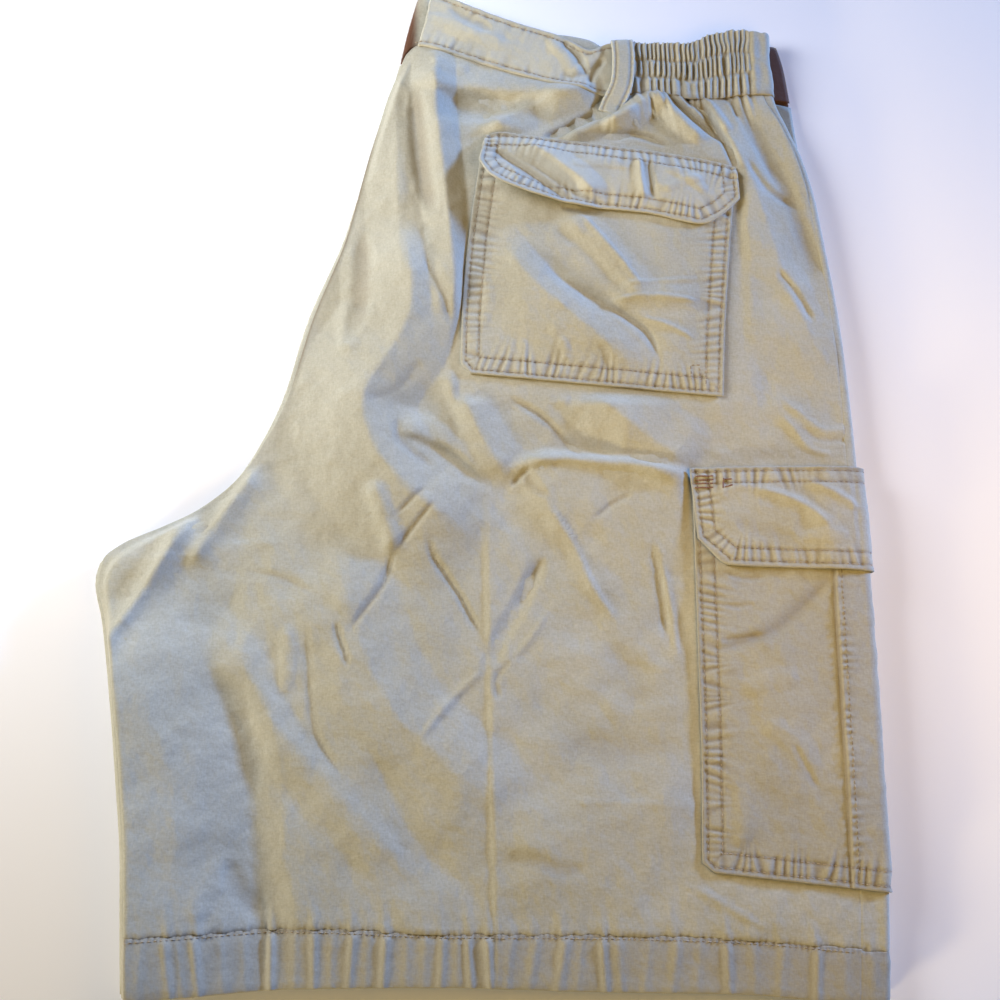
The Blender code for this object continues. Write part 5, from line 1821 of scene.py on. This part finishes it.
class CargoShorts:
    """The whole garment, piece by piece."""

    def __init__(self) -> None:
        """Name every piece with its cut and its seams."""
        pocket = ("back_panel_cloth",)
        self.back_panel = BackPanel("back_panel", flat=(400, 520), area=176000, pitch=1.5, coarser=6,
                                    creases=LEG_CREASES)
        self.front_panel = FrontPanel("front_panel", flat=(24, 484), pitch=1.9)
        self.hem_back = BackHem("hem_back", wall=DOUBLED, flat=(385, 27), pitch=1.05)
        self.hem_front = FrontHem("hem_front", wall=DOUBLED, flat=(30, 24), pitch=1.05)
        # painted light: the plain waistband is tinted pale for the brighter light on it
        self.band_back = PlainBand(
            "waistband_back", wall=DOUBLED, flat=(122, 38), pitch=0.9, creases=BAND_CREASES, held=Held.LAID,
            fade_and_painted_light=0.45,
            seams=(Seam(band_line(LEG.waist_seam, -42, 78), (2.2,), 0.30, 101, pitch=6.5, streak=9),
                   Seam(band_line(LEG.waist_top, -42, 78, back=True), (2.4,), 0.24, 104, pitch=7, streak=5)))
        self.band_side = ElasticBand(
            "waistband_side", wall=1.5, flat=(160, 40), pitch=0.62, held=Held.GATHERED)
        self.loop = BeltLoop("belt_loop", flat=(12, 52), held=Held.LAID, rests_on=("waistband_back_cloth",))
        self.pocket = BackPocket(
            "back_pocket", flat=(146, 134), rests_on=pocket, pitch=0.82, held=Held.LAID,
            creases=POCKET_CREASES,
            seams=(Seam(POCKET_EDGE, (2.2, 9.4), 0.42, 111),))
        # painted light: the flap is tinted pale for the brighter light on it
        self.flap = BackFlap(
            "back_pocket_flap", flat=(150, 44), rests_on=("back_pocket_cloth",), pitch=0.75, held=Held.LAID,
            creases=FLAP_CREASES, fade_and_painted_light=0.4,
            seams=(Seam(FLAP_EDGE, (2.2, 8.2), 0.34, 121, pitch=4.9), Seam(FLAP_TOP, (1.4, 8.0), 0.42, 124)))
        # painted shade: the cargo pocket and its flap are tinted darker for the light falling off toward the
        # lower right
        self.cargo = CargoPocket(
            "cargo_pocket", flat=(112, 212), rests_on=pocket, pitch=0.9, creases=CARGO_CREASES, painted_falloff_shade=0.26,
            seams=(Seam(CARGO_EDGE, (2.4, 9.8), 0.42, 131, pitch=5.0),))
        self.cargo_flap = CargoFlap(
            "cargo_pocket_flap", flat=(112, 57), rests_on=("cargo_pocket_cloth",), pitch=0.8,
            creases=CARGO_FLAP_CREASES, painted_falloff_shade=0.1,
            seams=(Seam(CARGO_FLAP_EDGE, (2.6, 9.2), 0.34, 141, pitch=5.2),
                   Seam(CARGO_FLAP_TOP, (1.6, 8.0), 0.36, 144, pitch=5.2)))
        self.cloths: tuple[Cloth, ...] = (
            self.back_panel, self.front_panel, self.hem_back, self.hem_front, self.band_back, self.band_side,
            self.loop, self.pocket, self.flap, self.cargo, self.cargo_flap)
        self.hidden = Stack(
            "hidden_layers", "twill", LEG.hem_edge, lambda at: LEG.waist_seam(at) - SEAM_GAP,
            lambda y: HEM_RISE + 3.4 * inside(y, -246, 4, 12), columns=90, rows=130, flat=(385, 520))
        self.band_hidden = Stack(
            "waistband_hidden", "waistband_inside", lambda at: LEG.waist_seam(at) + SEAM_GAP,
            LEG.waist_behind, np.ones_like, columns=120, rows=18, flat=(235, 38), brown=True)

    def build(self, twill: bpy.types.Material, thread: bpy.types.Material) -> None:
        """Make, dress and report every piece."""
        for part in (self.hidden, self.band_hidden, *self.cloths):
            piece = part.build()
            piece.data.materials.append(twill)
            LOG.info("%s: %d faces", piece.name, len(piece.data.polygons))
        for stitching in self.stitching():
            piece = stitching.build()
            piece.data.materials.append(thread)
            LOG.info("%s: %d faces", piece.name, len(piece.data.polygons))

    def stitching(self) -> list[Topstitch]:
        """Every row of stitches, by piece."""
        rows = []
        for number, cloth in enumerate((self.pocket, self.flap, self.cargo, self.cargo_flap, self.band_back)):
            sewn = Topstitch(cloth.node + "_stitches", cloth)
            for seam in cloth.seams:
                for row in seam.rows:
                    sewn.row(seam.track().inset(row), 200 + 10 * number + len(sewn.points) % 7)
            rows.append(sewn)
        rows[2].row(Track(((PLEAT_X + 3.2, -66), (PLEAT_X + 3.4, -230)), smooth=False), 260)
        rows[0].row(Track(POCKET_SQUARE, smooth=False), 262)
        bar = Topstitch("bartacks", self.cargo_flap, length=2.6, pitch=1.5, radius=0.42, red=0.8)
        for number, line in enumerate(BARTACKS):
            bar.row(Track(line, smooth=False), 280 + number)
        rows.append(bar)
        hem = Topstitch("hem_stitches", self.hem_back, length=2.0, pitch=2.9)
        hem.row(Track([(x, y - 1.3) for x, y in band_line(LEG.hem_line, -182, 190)]), 270)
        rows.append(hem)
        return rows


def main() -> None:
    """Build the garment and the studio."""
    logging.basicConfig(level=logging.INFO, format="%(name)s: %(message)s")
    Studio().build()
    CargoShorts().build(WashedTwill().material(), SewingThread().material())


if __name__ == "__main__":
    main()
